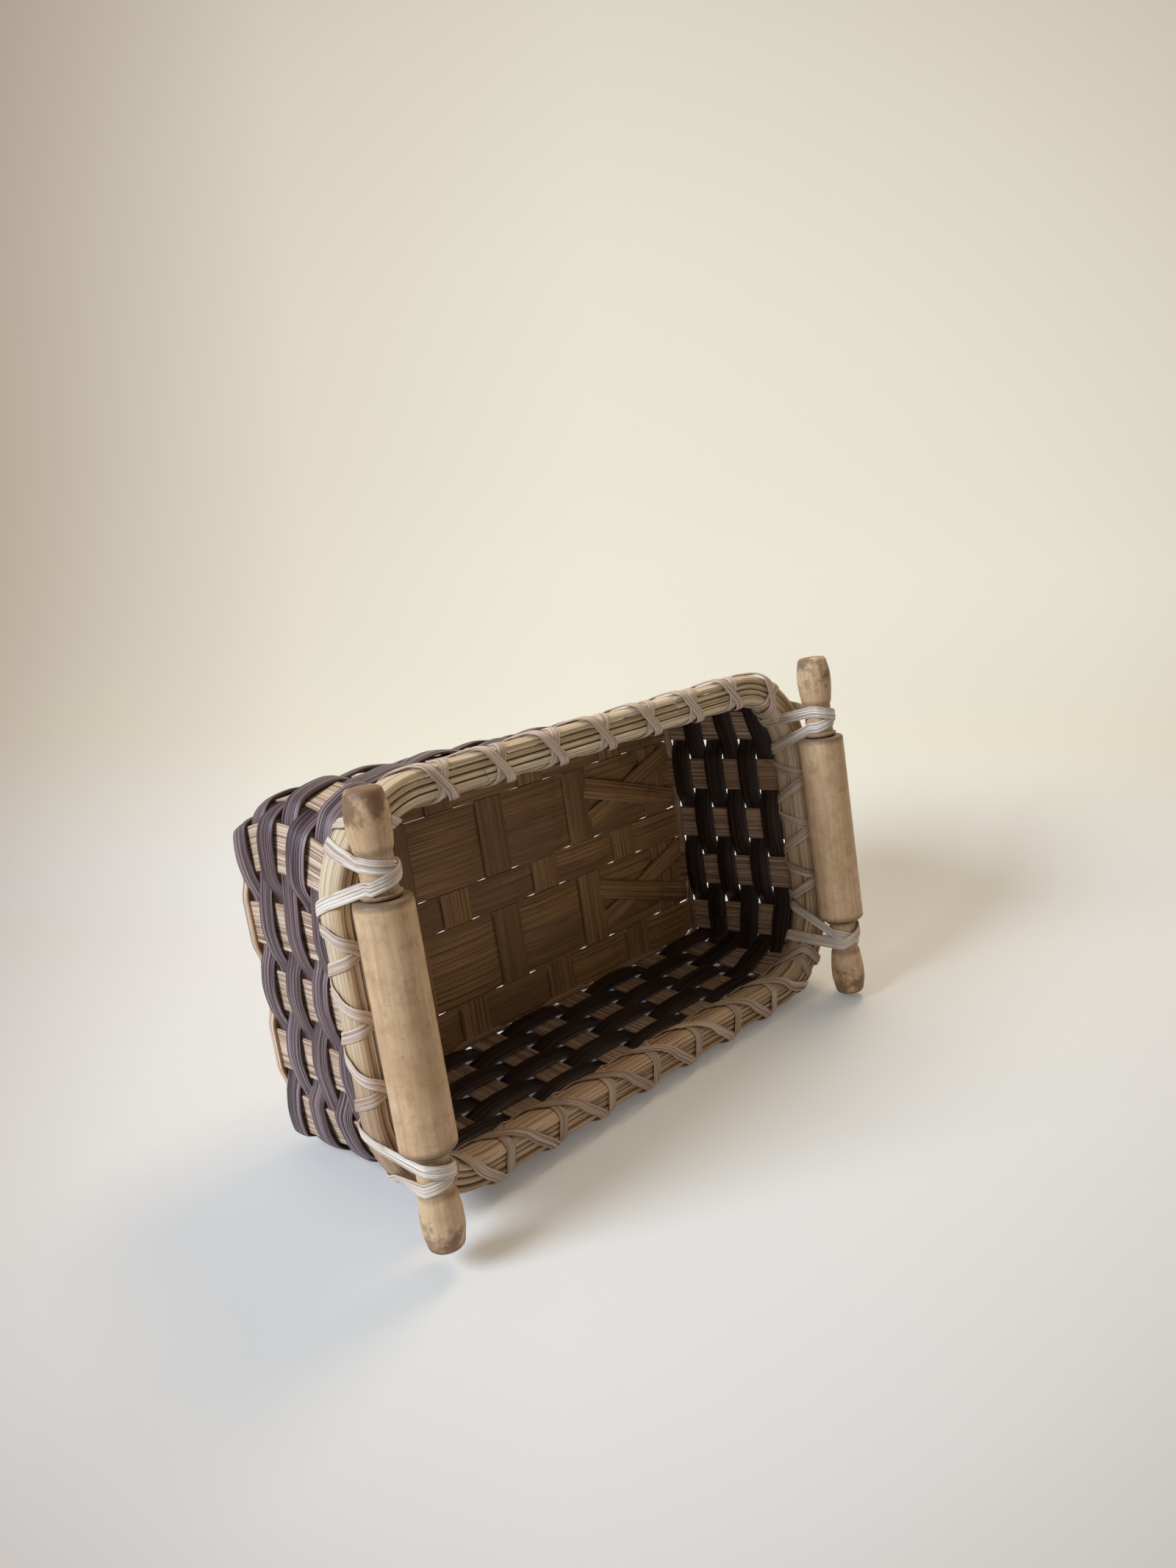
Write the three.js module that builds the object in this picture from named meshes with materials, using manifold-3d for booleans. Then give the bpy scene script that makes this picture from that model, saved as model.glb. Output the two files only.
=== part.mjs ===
// A reed basket with a lashed rim and a small rolling pin tied along each short rim as a handle.
// Millimetres. +Z points up out of the mouth, X runs along the basket, the origin is under the base's middle.
import * as THREE from "three";
import { mergeVertices } from "three/addons/utils/BufferGeometryUtils.js";
import Module from "manifold-3d";

const { Vector2, Vector3 } = THREE;

// Flat reed of the base and the stakes
const CLEARANCE = 0.35; // air between neighbouring strips
const STAKE_WIDTH = 16;
const STAKE_THICK = 1.1;
const FILLER_WIDTH = 37.5;
const LANE_GAP = 1.2; // slit between strips that lie side by side in the base
const CROSS_PITCH = 30;
const CROSS_PER_HALF = 4; // cross stakes on each side of the middle one
const LAP = 0.2; // how far a strip stays level past the edge of the strip that it crosses

// Split ends of the wide fillers: a tongue that turns up between two tails that fold back and cross
const SPLIT_ROOT = 2; // how far the tongue and the tails reach back into the whole strip
const SPLIT_SLIT = 0.3; // between the tongue and each tail
const SPLIT_SHAVE = 0.02; // tongue and tails are thinner than the whole strip by this
const FOLD_SHY = 0.3; // from the fold of a tail to where the tongue begins to turn up
const FOLD_STEPS = 4;
const TOP_TAIL_END = 7.5; // where each tail ends, sideways from its lane's middle
const UNDER_TAIL_END = -10;
const TAIL_RAMP = 4; // length over which the top tail climbs onto the other one

// Walls, measured on the middle surface of the stakes
const END_MARGIN = 8.3; // from the last cross stake to the end wall's foot
const SIDE_MARGIN = 2.7; // from the outer long stake to the side wall's foot
const END_FLARE = 0.074; // lean outwards for each millimetre of height
const SIDE_FLARE = 0.15;
const FOOT_CORNER = 6;
const RIM_CORNER = 40;
const SIDE_FAN = 0.02; // how much the side stakes spread apart by the rim
const END_FAN = -0.03;
const BEND_RUN = 2.4; // level length over which a stake turns up
const BEND_RISE = 3.4;
const BEND_STEPS = 3;
const CORNER_LEVELS = 6; // steps up a stake that twists round a corner

// Woven rows
const BASE_ROW_HEIGHT = 2.8;
const ROW_HEIGHT = 10.6;
const ROW_GAP = 0.3;
const ROW_COUNT = 6;
const WEAVER_THICK = 1.9; // flat-oval reed: flat inside, domed outside
const WEAVER_EDGE = 0.55; // thickness at its edges, as a share of the middle
const WEAVER_FLAT = 0.54; // width of its crown, as a share of the whole
const WEAVER_LIFT = 1.1; // extra bulge over the middle of a stake, outside the wall
const WEAVER_LIFT_INSIDE = 0.7;
const NATURAL_THICK = 1.1; // flat reed of the base row and the rim row
const WALL_CLEARANCE = 0.45; // between a row and the stakes that it passes
const ROW_REACH = 0.9; // how far a row runs straight past a stake's edge
const RIM_ROW_REACH = 0.3; // less in the rim, where the bands leave it no room
const JOINT_GAP = 0.5; // between the two ends of a row or band
const FIRST_JOINT = 3; // the stake at which the base row's ends meet
const JOINT_STEP = 5; // stakes from one row's joint to the next row's

// Rim
const RIM_HEIGHT = 14.3;
const BAND_THICK = 4;
const BAND_SHOULDER = 2.15; // thickness of a half-round band at its top and bottom edges
const BAND_CHEEK = 3.15; // height of the rounding at each edge
const RIM_FILLER_D = 2.7;
const RIM_FILLER_SIDES = 6;
const RIM_FILLER_DROP = 0.3; // below the tops of the bands
const CORNER_STEPS = 8;
const SCARF_SLANT = 0.8; // slope of the cut where a band's ends meet
const OUTER_JOINT_AT = 45; // along the rim from the middle of the back
const INNER_JOINT_AT = -75;

// Lashings
const LASH_WIDTH = 4.7;
const LASH_THICK = 1.1;
const LASH_GAP = 0.6; // between two crossing turns
const LASH_SPREAD = 9.8; // from a cross's middle to its feet, along the rim
const LASH_TURN = 10.1; // from the last stake to where the strand turns back
const LASH_PINCH = 3.4; // width of a strand pinched through the wall where it turns
const LASH_FLOOR = 2.4; // how far each way from the wall's middle a strand stays under the one it crosses
const LASH_TAIL = 2; // how far from the wall's middle a tucked end stops
const PIN_LASH_WIDTH = 5;
const PIN_LASH_IN = 0.5; // from the corner stake's middle to the lashing's middle, towards the barrel
const PIN_LASH_FOOT = 11.4; // from the lashing's middle to its feet, along the rim
const PIN_LASH_LOW = 10;
const PIN_LASH_HIGH = 7.4;
const NECK_SPREAD = 4.2; // from the lashing's middle to each turn where the turns leave the neck wide apart
const CROSS_INSIDE = 0.08; // where the turns cross, as a share of the way over the neck from inside
const CROSS_ON_TOP = 0.35;
const CROSS_OUTSIDE = 0.92;
const NECK_LEAVE_INSIDE = 20; // degrees below the neck's middle at which a taut turn leaves it
const NECK_LEAVE_OUTSIDE = 5;
const NECK_STEPS = 8; // steps over the top of the neck

// Rolling pins
const PIN_LENGTH = 178;
const BARREL_LENGTH = 97;
const BARREL_D = 22.4;
const BARREL_EDGE = 1.6;
const EDGE_EASE = 0.3; // how far the middle of that rounding stays off the corner, as a share
const AXLE_D = 8;
const AXLE_CLEARANCE = 0.07; // the barrel's running fit, on the radius
const SOCKET_DEPTH = 20;
const COLLAR_D = 16;
const COLLAR_LENGTH = 2;
const COLLAR_EASE = 0.6;
const NECK_D = 13.4;
const NECK_LENGTH = 14.5;
const SHOULDER_D = 14.8; // where the knob begins
const SHOULDER_RUN = 1.2;
const KNOB_D = 16.8;
const KNOB_FULL_FROM = 0.4; // its fullest stretch, as shares of the knob's length
const KNOB_FULL_TO = 0.64;
const KNOB_END_D = 14.4;
const KNOB_EDGE = 1.8;
const PIN_INSET = 3.4; // the pin's axis lies this far inside the rim's middle line
const PIN_SEAT = 0.8; // between the barrel and the lashing under it
const END_PLAY = 0.45; // between the barrel and each handle
const TURN_SIDES = 18;

// Places that follow from the sizes
const HALF_STAKE = STAKE_WIDTH / 2;
const FILLER_LANE = HALF_STAKE + LANE_GAP + FILLER_WIDTH / 2;
const OUTER_LANE = FILLER_LANE + FILLER_WIDTH / 2 + LANE_GAP + HALF_STAKE;
const LAST_CROSS = CROSS_PER_HALF * CROSS_PITCH;
const END_FOOT = LAST_CROSS + HALF_STAKE + END_MARGIN;
const SIDE_FOOT = OUTER_LANE + HALF_STAKE + SIDE_MARGIN;
const LOW = STAKE_THICK / 2; // middle of a strip that lies on the ground
const LAYER = STAKE_THICK + CLEARANCE;
const HIGH = LOW + LAYER; // middle of a strip that lies on another
const ROWS_FOOT = BEND_RISE + BASE_ROW_HEIGHT + ROW_GAP;
const ROW_PITCH = ROW_HEIGHT + ROW_GAP;
const ROWS_TOP = ROWS_FOOT + ROW_COUNT * ROW_PITCH - ROW_GAP;
const LASH_STACK = CLEARANCE + 2 * LASH_THICK + LASH_GAP;
const RIM_FOOT = ROWS_TOP + LASH_STACK + WALL_CLEARANCE;
const RIM_MIDDLE = RIM_FOOT + RIM_HEIGHT / 2;
const RIM_TOP = RIM_FOOT + RIM_HEIGHT;
const BAND_INSIDE = RIM_FILLER_D + 1.5 * CLEARANCE; // from the wall's middle to a band's flat face
const BAND_OUTSIDE = BAND_INSIDE + BAND_THICK;
const STAKE_TOP = RIM_TOP - RIM_FILLER_DROP - RIM_FILLER_D - CLEARANCE;
const RIM_ROW_HEIGHT = STAKE_TOP - RIM_FOOT - 2 * CLEARANCE;
const CORNER_GROWTH = (RIM_CORNER - FOOT_CORNER) / RIM_MIDDLE;
const PIN_X = END_FOOT + END_FLARE * RIM_MIDDLE - PIN_INSET;
const PIN_Z = RIM_TOP + LASH_STACK + PIN_SEAT + BARREL_D / 2;
const HANDLE_LENGTH = (PIN_LENGTH - BARREL_LENGTH) / 2 - END_PLAY;
const HANDLE_FOOT = BARREL_LENGTH / 2 + END_PLAY;
const NECK_MIDDLE = HANDLE_FOOT + COLLAR_LENGTH + NECK_LENGTH / 2;

const wasm = await Module();
wasm.setup();

const basket = new THREE.Group();
basket.name = "biscuit_basket";

const NATURAL_REED = new THREE.MeshStandardMaterial({ color: 0xb99a74, roughness: 0.75, metalness: 0 });
const DARK_REED = new THREE.MeshStandardMaterial({ color: 0x54424a, roughness: 0.7, metalness: 0 });
const RIM_REED = new THREE.MeshStandardMaterial({ color: 0xc9ac7c, roughness: 0.7, metalness: 0 });
const LASH_REED = new THREE.MeshStandardMaterial({ color: 0xc8b09c, roughness: 0.65, metalness: 0 });
const PIN_WOOD = new THREE.MeshStandardMaterial({ color: 0xb9966a, roughness: 0.6, metalness: 0 });

function add(name, geometry, material) {
  const mesh = new THREE.Mesh(geometry, material);
  mesh.name = name;
  basket.add(mesh);
}

// A closed skin through a row of loops, all with the same number of corners
function loft(loops) {
  const sides = loops[0].length;
  const corners = loops.flat();
  const faces = [];
  for (let i = 0; i + 1 < loops.length; i++) {
    for (let j = 0; j < sides; j++) {
      const a = i * sides + j;
      const b = i * sides + ((j + 1) % sides);
      faces.push(a, b, b + sides, a, b + sides, a + sides);
    }
  }
  const last = (loops.length - 1) * sides;
  for (let j = 1; j + 1 < sides; j++) {
    faces.push(0, j + 1, j, last, last + j, last + j + 1);
  }
  let volume = 0;
  for (let i = 0; i < faces.length; i += 3) {
    const [a, b, c] = faces.slice(i, i + 3).map((k) => corners[k]);
    volume += a.dot(new Vector3().crossVectors(b, c));
  }
  if (volume < 0) faces.reverse();
  const skin = new THREE.BufferGeometry().setFromPoints(corners);
  skin.setIndex(faces);
  return skin;
}

// A manifold solid of a closed skin, and a skin of a solid
function solidOf(geometry) {
  const bare = new THREE.BufferGeometry();
  bare.setAttribute("position", geometry.getAttribute("position"));
  bare.setIndex(geometry.index);
  const merged = mergeVertices(bare, 1e-4);
  const vertProperties = new Float32Array(merged.getAttribute("position").array);
  const triVerts = new Uint32Array(merged.index.array);
  return new wasm.Manifold(new wasm.Mesh({ numProp: 3, vertProperties, triVerts }));
}

function skinOf(solid) {
  const mesh = solid.getMesh();
  const skin = new THREE.BufferGeometry();
  skin.setAttribute("position", new THREE.BufferAttribute(mesh.vertProperties, 3));
  skin.setIndex(new THREE.BufferAttribute(mesh.triVerts, 1));
  return skin;
}

// Corners of a section laid across a path: each corner is [along the width, along the thickness]
function placed(section, middle, across, through) {
  return section.map(([w, t]) => middle.clone().addScaledVector(across, w).addScaledVector(through, t));
}

function flatSection(width, thick) {
  const w = width / 2;
  const t = thick / 2;
  return [[-w, -t], [w, -t], [w, t], [-w, t]];
}

function ovalSection(width, thick) {
  const w = width / 2;
  const t = thick / 2;
  const edge = t * (2 * WEAVER_EDGE - 1);
  const crown = w * WEAVER_FLAT;
  return [[-w, -t], [w, -t], [w, edge], [crown, t], [-crown, t], [-w, edge]];
}

// The wall's middle surface: a rounded oblong that grows and rounds off with height
function outline(z) {
  return {
    a: END_FOOT + END_FLARE * z,
    b: SIDE_FOOT + SIDE_FLARE * z,
    r: FOOT_CORNER + CORNER_GROWTH * z,
  };
}

// A point of that surface with its directions outwards, up the wall and along the weaving
function wallFrame(x, y, z, nx, ny) {
  const corner = CORNER_GROWTH * (1 - Math.abs(nx) - Math.abs(ny));
  const lean = Math.abs(nx) * END_FLARE + Math.abs(ny) * SIDE_FLARE + corner;
  return {
    p: new Vector3(x, y, z),
    out: new Vector3(nx, ny, -lean).normalize(),
    up: new Vector3(lean * nx, lean * ny, 1).normalize(),
    along: new Vector3(ny, -nx, 0),
  };
}

// How far round a corner a stake stands: the sine of the angle from its own wall
function cornerSine(from, straight, r) {
  return Math.max(0, (Math.abs(from) - straight) / r);
}

function sideStakeFrame(stake, z) {
  const { a, b, r } = outline(z);
  const x = stake.place * (1 + (SIDE_FAN * z) / RIM_MIDDLE);
  const sine = cornerSine(x, a - r, r);
  const cosine = Math.sqrt(1 - sine * sine);
  const y = stake.side * (b - r + r * cosine);
  return wallFrame(x, y, z, Math.sign(x) * sine, stake.side * cosine);
}

function endStakeFrame(stake, z) {
  const { a, b, r } = outline(z);
  const y = stake.place * (1 + (END_FAN * z) / RIM_MIDDLE);
  const sine = cornerSine(y, b - r, r);
  const cosine = Math.sqrt(1 - sine * sine);
  const x = stake.side * (a - r + r * cosine);
  return wallFrame(x, y, z, stake.side * cosine, Math.sign(y) * sine);
}

function stakeFrame(stake, z) {
  return stake.onEnd ? endStakeFrame(stake, z) : sideStakeFrame(stake, z);
}

// All stakes in the order in which a row meets them
function crossPlaces() {
  return Array.from({ length: 2 * CROSS_PER_HALF + 1 }, (_, k) => (k - CROSS_PER_HALF) * CROSS_PITCH);
}

const END_PLACES = [OUTER_LANE, FILLER_LANE, 0, -FILLER_LANE, -OUTER_LANE];

function stakesInOrder() {
  const back = crossPlaces().map((place) => ({ place, side: 1, onEnd: false }));
  const right = END_PLACES.map((place) => ({ place, side: 1, onEnd: true }));
  const front = crossPlaces().reverse().map((place) => ({ place, side: -1, onEnd: false }));
  const left = END_PLACES.toReversed().map((place) => ({ place, side: -1, onEnd: true }));
  return [...back, ...right, ...front, ...left];
}

const STAKES = stakesInOrder();

// A stake's turn from the base up into the wall, then the wall up to the rim.
// Each loop faces the inside of the basket with its upper face.
function risingLoops(stake, level) {
  const section = flatSection(STAKE_WIDTH, STAKE_THICK);
  const foot = stake.onEnd ? END_FOOT : SIDE_FOOT;
  const lean = stake.onEnd ? END_FLARE : SIDE_FLARE;
  const outwards = stake.onEnd ? new Vector3(stake.side, 0, 0) : new Vector3(0, stake.side, 0);
  const across = stake.onEnd ? new Vector3(0, 1, 0) : new Vector3(1, 0, 0);
  const start = new Vector2(foot - BEND_RUN, level);
  const knee = new Vector2(foot + lean * level, level);
  const end = new Vector2(foot + lean * BEND_RISE, BEND_RISE);
  const bend = new THREE.QuadraticBezierCurve(start, knee, end);
  const loops = [];
  for (let i = 0; i < BEND_STEPS; i++) {
    const at = bend.getPoint(i / BEND_STEPS);
    const tangent = bend.getTangent(i / BEND_STEPS);
    const middle = outwards.clone().multiplyScalar(at.x);
    middle.addScaledVector(across, stake.place);
    middle.z = at.y;
    const inside = outwards.clone().multiplyScalar(-tangent.y);
    inside.z = tangent.x;
    loops.push(placed(section, middle, across, inside));
  }
  const rim = stakeFrame(stake, RIM_MIDDLE);
  const twists = Math.abs(rim.out.x * rim.out.y) > 1e-3;
  const levels = twists ? CORNER_LEVELS : 1;
  for (let i = 0; i <= levels; i++) {
    const frame = stakeFrame(stake, BEND_RISE + ((STAKE_TOP - BEND_RISE) * i) / levels);
    const width = frame.along.clone();
    if (width.dot(across) < 0) width.negate();
    loops.push(placed(section, frame.p, width, frame.out.clone().negate()));
  }
  return loops;
}

// Cross stakes: over the fillers and under the long stakes, and the next one the other way round
function isOverFillers(x) {
  return Math.round(x / CROSS_PITCH) % 2 === 0;
}

function crossStake(x) {
  const section = flatSection(STAKE_WIDTH, STAKE_THICK);
  const overFillers = isOverFillers(x);
  const atStake = overFillers ? LOW : HIGH;
  const atFiller = overFillers ? HIGH : LOW;
  const lanes = [
    { middle: -OUTER_LANE, half: HALF_STAKE, level: atStake },
    { middle: -FILLER_LANE, half: FILLER_WIDTH / 2, level: atFiller },
    { middle: 0, half: HALF_STAKE, level: atStake },
    { middle: FILLER_LANE, half: FILLER_WIDTH / 2, level: atFiller },
    { middle: OUTER_LANE, half: HALF_STAKE, level: atStake },
  ];
  const base = [];
  for (const lane of lanes) {
    for (const edge of [-1, 1]) {
      const middle = new Vector3(x, lane.middle + edge * (lane.half + LAP), lane.level);
      base.push(placed(section, middle, new Vector3(1, 0, 0), new Vector3(0, 0, 1)));
    }
  }
  const inner = base.slice(1, -1);
  const front = risingLoops({ place: x, side: -1, onEnd: false }, atStake).reverse();
  const back = risingLoops({ place: x, side: 1, onEnd: false }, atStake);
  return loft([...front, ...inner, ...back]);
}

// Long stakes: narrow strips along the base
function longStake(y) {
  const section = flatSection(STAKE_WIDTH, STAKE_THICK);
  const base = [];
  for (const x of crossPlaces()) {
    const level = isOverFillers(x) ? HIGH : LOW;
    for (const edge of [-1, 1]) {
      const middle = new Vector3(x + edge * (HALF_STAKE + LAP), y, level);
      base.push(placed(section, middle, new Vector3(0, 1, 0), new Vector3(0, 0, 1)));
    }
  }
  const endLevel = isOverFillers(LAST_CROSS) ? HIGH : LOW;
  const left = risingLoops({ place: y, side: -1, onEnd: true }, endLevel).reverse();
  const right = risingLoops({ place: y, side: 1, onEnd: true }, endLevel);
  return loft([...left, ...base, ...right]);
}

// Base fillers: wide strips along the base, with ends split in three
const LAST_WHOLE = LAST_CROSS - 2 * CROSS_PITCH; // the stake that the tails reach back to
const TAIL_EDGE = LAST_WHOLE + HALF_STAKE + CLEARANCE; // where they are tucked against it
const FOLD_AT = END_FOOT - BEND_RUN - FOLD_SHY;
const TAIL_WIDTH = (FILLER_WIDTH - STAKE_WIDTH) / 2 - SPLIT_SLIT;
const TAIL_ROOT = (FILLER_WIDTH - TAIL_WIDTH) / 2; // from the lane's middle to a tail's middle at the fold
const TAIL_LEVEL = HIGH + LAYER;

function fillerBody(lane) {
  const section = flatSection(FILLER_WIDTH, STAKE_THICK);
  const loops = [];
  const put = (x, level) => {
    loops.push(placed(section, new Vector3(x, lane, level), new Vector3(0, 1, 0), new Vector3(0, 0, 1)));
  };
  put(-FOLD_AT, LOW);
  for (const x of crossPlaces()) {
    const level = isOverFillers(x) ? LOW : HIGH;
    put(x - HALF_STAKE - LAP, level);
    put(x + HALF_STAKE + LAP, level);
  }
  put(FOLD_AT, LOW);
  return loft(loops);
}

function fillerTongue(lane, side) {
  const section = flatSection(STAKE_WIDTH, STAKE_THICK - SPLIT_SHAVE);
  const root = new Vector3(side * (FOLD_AT - SPLIT_ROOT), lane, LOW);
  const first = placed(section, root, new Vector3(0, 1, 0), new Vector3(0, 0, 1));
  return loft([first, ...risingLoops({ place: lane, side, onEnd: true }, LOW)]);
}

// A tail is drawn for the right-hand end and turned half round for the left-hand one.
// It folds over at the end of the base and runs back at a slant to the stake that it is tucked under.
function fillerTail(lane, side, from, to, heights) {
  const slant = Math.atan2(to - from, FOLD_AT - TAIL_EDGE);
  const section = flatSection(TAIL_WIDTH, STAKE_THICK - SPLIT_SHAVE);
  const cut = flatSection(TAIL_WIDTH / Math.cos(slant), STAKE_THICK - SPLIT_SHAVE);
  const put = (shape, u, v, z, turn, tilt) => {
    const width = new Vector3(side * Math.sin(turn), side * Math.cos(turn), 0);
    const through = new Vector3(-side * Math.sin(tilt), 0, Math.cos(tilt));
    return placed(shape, new Vector3(side * u, lane + side * v, z), width, through);
  };
  const loops = [put(section, FOLD_AT - SPLIT_ROOT, from, LOW, 0, 0)];
  const radius = LAYER / 2;
  for (let k = 0; k <= FOLD_STEPS; k++) {
    const share = k / FOLD_STEPS;
    const tilt = Math.PI * share;
    const u = FOLD_AT + radius * Math.sin(tilt);
    const z = LOW + radius * (1 - Math.cos(tilt));
    loops.push(put(section, u, from, z, slant * share, tilt));
  }
  const sideways = (u) => from + (FOLD_AT - u) * Math.tan(slant);
  for (const [u, z] of heights) loops.push(put(section, u, sideways(u), z, slant, Math.PI));
  loops.push(put(cut, TAIL_EDGE, to, HIGH, 0, Math.PI));
  return loft(loops);
}

function baseFiller(lane) {
  const run = FOLD_AT - TAIL_EDGE;
  const topSlope = (TOP_TAIL_END + TAIL_ROOT) / run;
  const underSlope = (TAIL_ROOT - UNDER_TAIL_END) / run;
  const crossing = FOLD_AT - (2 * TAIL_ROOT) / (topSlope + underSlope);
  const reach = TAIL_WIDTH / (2 * Math.sin(Math.atan((topSlope + underSlope) / 2)));
  const slopeEnd = LAST_CROSS - CROSS_PITCH - HALF_STAKE - LAP; // nearer than this the strip below goes down
  const near = crossing - reach;
  const nearLevel = HIGH + (LAYER * (near - TAIL_EDGE)) / (slopeEnd - TAIL_EDGE);
  const climbed = LAST_CROSS + HALF_STAKE + LAP + (TAIL_WIDTH / 2) * underSlope; // up on the last cross stake
  const underHeights = [
    [climbed, TAIL_LEVEL],
    [slopeEnd, TAIL_LEVEL],
  ];
  const topHeights = [
    [climbed, TAIL_LEVEL],
    [crossing + reach + TAIL_RAMP, TAIL_LEVEL],
    [crossing + reach, TAIL_LEVEL + LAYER],
    [slopeEnd, TAIL_LEVEL + LAYER],
    [near, nearLevel + LAYER],
  ];
  let solid = solidOf(fillerBody(lane));
  for (const side of [-1, 1]) {
    solid = solid.add(solidOf(fillerTongue(lane, side)));
    solid = solid.add(solidOf(fillerTail(lane, side, TAIL_ROOT, UNDER_TAIL_END, underHeights)));
    solid = solid.add(solidOf(fillerTail(lane, side, -TAIL_ROOT, TOP_TAIL_END, topHeights)));
  }
  return skinOf(solid);
}

// Woven rows: outside one stake and inside the next, all the way round, with the ends met at one stake
function wovenRow(row, z, section, thick, lifts, past) {
  const reach = HALF_STAKE + past;
  const offset = STAKE_THICK / 2 + WALL_CLEARANCE + thick / 2;
  const joint = (FIRST_JOINT + row * JOINT_STEP) % STAKES.length;
  const marks = [];
  for (let k = 0; k <= STAKES.length; k++) {
    const i = (joint + k) % STAKES.length;
    const outside = (i + row) % 2 === 0 ? 1 : -1;
    const frame = stakeFrame(STAKES[i], z);
    let steps = [-reach, 0, reach];
    if (k === 0) steps = [JOINT_GAP / 2, reach];
    if (k === STAKES.length) steps = [-reach, -JOINT_GAP / 2];
    for (const step of steps) {
      const lift = outside > 0 ? lifts.outside : lifts.inside;
      const bulge = Math.abs(step) < reach ? lift : 0;
      const at = frame.p.clone().addScaledVector(frame.along, step);
      at.addScaledVector(frame.out, outside * (offset + bulge));
      marks.push({ at, up: frame.up });
    }
  }
  const loops = marks.map(({ at, up }, i) => {
    const from = marks[Math.max(0, i - 1)].at;
    const to = marks[Math.min(marks.length - 1, i + 1)].at;
    const forward = to.clone().sub(from).normalize();
    const out = new Vector3().crossVectors(up, forward).normalize();
    const width = new Vector3().crossVectors(forward, out).normalize();
    return placed(section, at, width, out);
  });
  return loft(loops);
}

// The rim line: distance along the wall's middle surface at the rim, from the middle of the back
const RIM = outline(RIM_MIDDLE);
const RIM_STRAIGHT = RIM.a - RIM.r;
const RIM_ARC = (RIM.r * Math.PI) / 2;
const RIM_QUARTER = RIM_STRAIGHT + RIM_ARC + RIM.b - RIM.r;

// A point beside the rim line: s along it, n outwards from it and h up from it
function rimPoint(s, n, h) {
  const around = 4 * RIM_QUARTER;
  const half = 2 * RIM_QUARTER;
  const signed = ((((s + half) % around) + around) % around) - half;
  const right = signed < 0 ? -1 : 1;
  const back = Math.abs(signed) > RIM_QUARTER ? -1 : 1;
  const d = back > 0 ? Math.abs(signed) : half - Math.abs(signed);
  const turn = Math.min(Math.max(d - RIM_STRAIGHT, 0) / RIM.r, Math.PI / 2);
  const past = Math.max(d - RIM_STRAIGHT - RIM_ARC, 0);
  const x = Math.min(d, RIM_STRAIGHT) + RIM.r * Math.sin(turn);
  const y = RIM.b - RIM.r + RIM.r * Math.cos(turn) - past;
  const frame = wallFrame(right * x, back * y, RIM_MIDDLE, right * Math.sin(turn), back * Math.cos(turn));
  return frame.p.clone().addScaledVector(frame.out, n).addScaledVector(frame.up, h);
}

// Where a stake meets the rim line, counted from the middle of the back towards the right
function rimPlace(stake) {
  const { p, out } = stakeFrame(stake, RIM_MIDDLE);
  const turn = Math.atan2(Math.abs(out.x), Math.abs(out.y));
  let d = RIM_STRAIGHT + RIM.r * turn;
  if (turn < 1e-6) d = Math.abs(p.x);
  if (turn > Math.PI / 2 - 1e-6) d = RIM_QUARTER - Math.abs(p.y);
  const quarter = p.y >= 0 ? d : 2 * RIM_QUARTER - d;
  return p.x >= 0 ? quarter : -quarter;
}

// A bar that follows the rim once round, with a slanted joint
function rimBar(profile, jointAt) {
  const marks = [];
  for (let quarter = 0; quarter < 4; quarter++) {
    const mirrored = quarter % 2 === 1;
    for (let k = 0; k <= CORNER_STEPS; k++) {
      const d = RIM_STRAIGHT + (RIM_ARC * k) / CORNER_STEPS;
      const s = mirrored ? (quarter + 1) * RIM_QUARTER - d : quarter * RIM_QUARTER + d;
      marks.push(s);
    }
  }
  const around = 4 * RIM_QUARTER;
  const bends = marks.map((s) => jointAt + ((((s - jointAt) % around) + around) % around));
  bends.sort((p, q) => p - q);
  const square = bends.map((s) => profile.map(([n, h]) => rimPoint(s, n, h)));
  const cut = (s) => profile.map(([n, h]) => rimPoint(s + SCARF_SLANT * h, n, h));
  return loft([cut(jointAt + JOINT_GAP), ...square, cut(jointAt + around - JOINT_GAP)]);
}

// Half of the rim's outline, from the foot of the outer band over to the middle of the top
function bandProfile(outwards) {
  const top = RIM_HEIGHT / 2;
  const shoulder = BAND_INSIDE + BAND_SHOULDER;
  const profile = [
    [BAND_INSIDE, -top],
    [shoulder, -top],
    [BAND_OUTSIDE, -top + BAND_CHEEK],
    [BAND_OUTSIDE, top - BAND_CHEEK],
    [shoulder, top],
    [BAND_INSIDE, top],
  ];
  return profile.map(([n, h]) => [outwards * n, h]);
}

function rimFillerProfile(outwards) {
  const radius = RIM_FILLER_D / 2;
  const middle = outwards * (radius + CLEARANCE / 2);
  const level = RIM_HEIGHT / 2 - RIM_FILLER_DROP - radius;
  return Array.from({ length: RIM_FILLER_SIDES }, (_, k) => {
    const angle = (2 * Math.PI * (k + 0.5)) / RIM_FILLER_SIDES;
    return [middle + radius * Math.cos(angle), level + radius * Math.sin(angle)];
  });
}

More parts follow.
